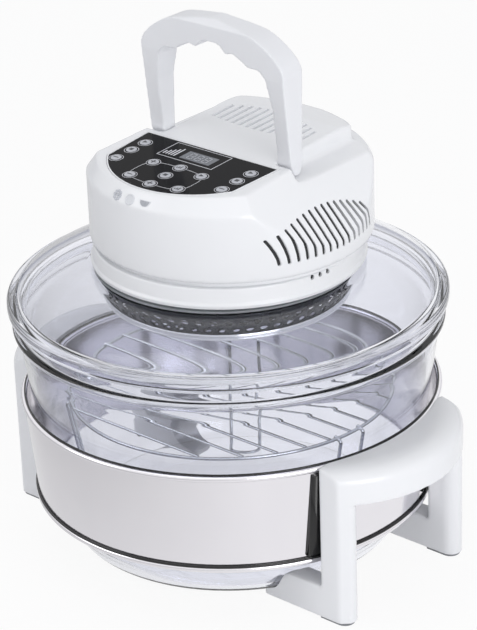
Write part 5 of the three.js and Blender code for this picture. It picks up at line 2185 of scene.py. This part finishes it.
@dataclass
class Handle:
    """Moulded bail with finger scallops and a broad bevel along its edges.

    Attributes:
        pivot: Depth and height of the hinge axis.
        half: Half width of the bail.
        height: Height of the bail above the axis.
        foot_inner: Inner face of the feet.
        foot_top: Height of the foot's inner step.
        front: How far the grip reaches forwards.
        back: How far the grip reaches backwards.
        grip: Heights between which the grip has its full depth.
        shoulder: Share of the half width and height along the outside.
        knuckles: Inner corners below the scallops, with their fillets.
        scallops: Place and height along the scalloped inside.
        cam: Smallest radius, rise, sweep and steps of the cam under each foot.
        grain: Grain and rounds of the softening.
    """

    pivot: Flat = (3.5, 319.3)
    half: float = 70.5
    height: float = 107.7
    foot_inner: float = 57.2
    foot_top: float = 47.0
    front: float = 13.5
    back: float = 8.5
    grip: Flat = (71.7, 102.0)
    shoulder: tuple[Flat, ...] = (
        (0.326, 104.5), (0.624, 100.7), (0.851, 90.7), (0.959, 83.7), (1.007, 76.7), (1.0, 71.7)
    )
    knuckles: tuple[Point, ...] = ((52.6, 71.7, 8), (47.0, 76.7, 6))
    scallops: tuple[Flat, ...] = (
        (37.0, 76.7), (30.0, 80.6), (22.0, 84.7), (15.0, 83.0), (9.0, 88.6), (3.0, 90.0)
    )
    cam: tuple[float, ...] = (4.4, 0.6, 72.0, 8)
    grain: tuple[float, int] = (0.9, 4)

    def build(self) -> None:
        """Build the bail."""
        show(self.bail(), SATIN_ABS, Body.HANDLE, "carry_handle")

    def bail(self) -> Piece:
        """Push the front outline, bevel it and keep what lies inside the side outline.

        Returns:
            The bail at its hinge.
        """
        right = [
            (0.0, self.height, 40),
            *[(share * self.half, up, 60) for share, up in self.shoulder],
            (self.half, -8.0, 0),
            (self.foot_inner, -8.0, 0),
            (self.foot_inner, self.foot_top, 8),
            *self.knuckles,
            *[(x, z, 3) for x, z in self.scallops],
        ]
        left = [(-x, z, r) for x, z, r in reversed(right[1:])]
        bail = pushed("carry_bail", rounded([*right, *left], 5), -16.0, 11.0, Plane.FRONT)
        low, high = self.grip
        side = [
            *self.cam_edge(),
            (6.5, 5.0),
            (self.back, low),
            (self.back, high),
            (self.back - 5, self.height + 1),
            (-self.front + 5, self.height + 1),
            (-self.front, high),
            (-self.front, low),
            (-6.5, 5.0),
            (-4.4, 0.0),
            (-3.11, -3.11),
        ]
        combined(bail, pushed("side_form", side, -90.0, 90.0, Plane.SIDE), Join.KEEP_COMMON)
        softened(bail, *self.grain)
        y, z = self.pivot
        return moved(bail, Matrix.Translation(Vector((0, y, z)) * MM))

    def cam_edge(self) -> list[Flat]:
        """List the points of the cam under each foot, seen from the side.

        Returns:
            Depth and height of the points, from below to the rear.
        """
        low, rise, sweep, steps = self.cam
        turns = [90 * i / steps for i in range(steps + 1)]
        edge = [(math.radians(turn), low + rise * turn / sweep) for turn in turns]
        return [(math.sin(a) * radius, -math.cos(a) * radius) for a, radius in edge]


# Parts that keep their CAD form

KEPT_FINISHES: dict[str, Finish] = {
    "motor": CAST_ALLOY,
    "motor_bracket": CAST_ALLOY,
    "motor_shaft": ZINC_SCREW,
    "hot_air_fan": REFLECTOR,
    "cooling_fan": FAN_NYLON,
    "thermostat": CERAMIC,
    "micro_switch": BLACK_PARTS_AND_PAINTED_SHADE,
    "circuit_board": BOARD,
    "display_module": BLACK_PARTS_AND_PAINTED_SHADE,
    "reflector_plate": REFLECTOR,
    "halogen_lamp": QUARTZ,
    "lamp_holder_1": CERAMIC,
    "lamp_holder_2": CERAMIC,
    "right_hinge_pin": ZINC_SCREW,
    "left_hinge_pin": ZINC_SCREW,
    "switch_plunger": RUBBER,
    "cord_gland": WHITE_ABS,
    "right_foot_pad_1": RUBBER,
    "right_foot_pad_2": RUBBER,
    "left_foot_pad_1": RUBBER,
    "left_foot_pad_2": RUBBER,
    **{f"band_screw_{i}": ZINC_SCREW for i in range(1, 5)},
    **{f"clamp_screw_{i}": ZINC_SCREW for i in range(1, 5)},
}


def dress_kept_nodes(nodes: dict[str, Piece]) -> None:
    """Give the CAD nodes that stay their finishes.

    Args:
        nodes: The frame's nodes by name.
    """
    for name, finish in KEPT_FINISHES.items():
        finish.cover(nodes[name])
        log.info("%s keeps its CAD form", name)


def corners(bounds: tuple[Vector, Vector]) -> list[list[float]]:
    """Turn a box into plain lists of numbers."""
    return [list(corner) for corner in bounds]


def main() -> None:
    """Load the frame, set up the studio and build every sub-assembly."""
    logging.basicConfig(level=logging.INFO, format="%(message)s")
    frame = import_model()
    Studio().build()
    Stand().build()
    Bowl().build()
    Rack().build()
    Lid().build()
    FanGuard().build()
    head = Head()
    head.build()
    Panel().build(head.on_panel())
    Handle().build()
    dress_kept_nodes(frame["nodes"])


if __name__ == "__main__":
    main()
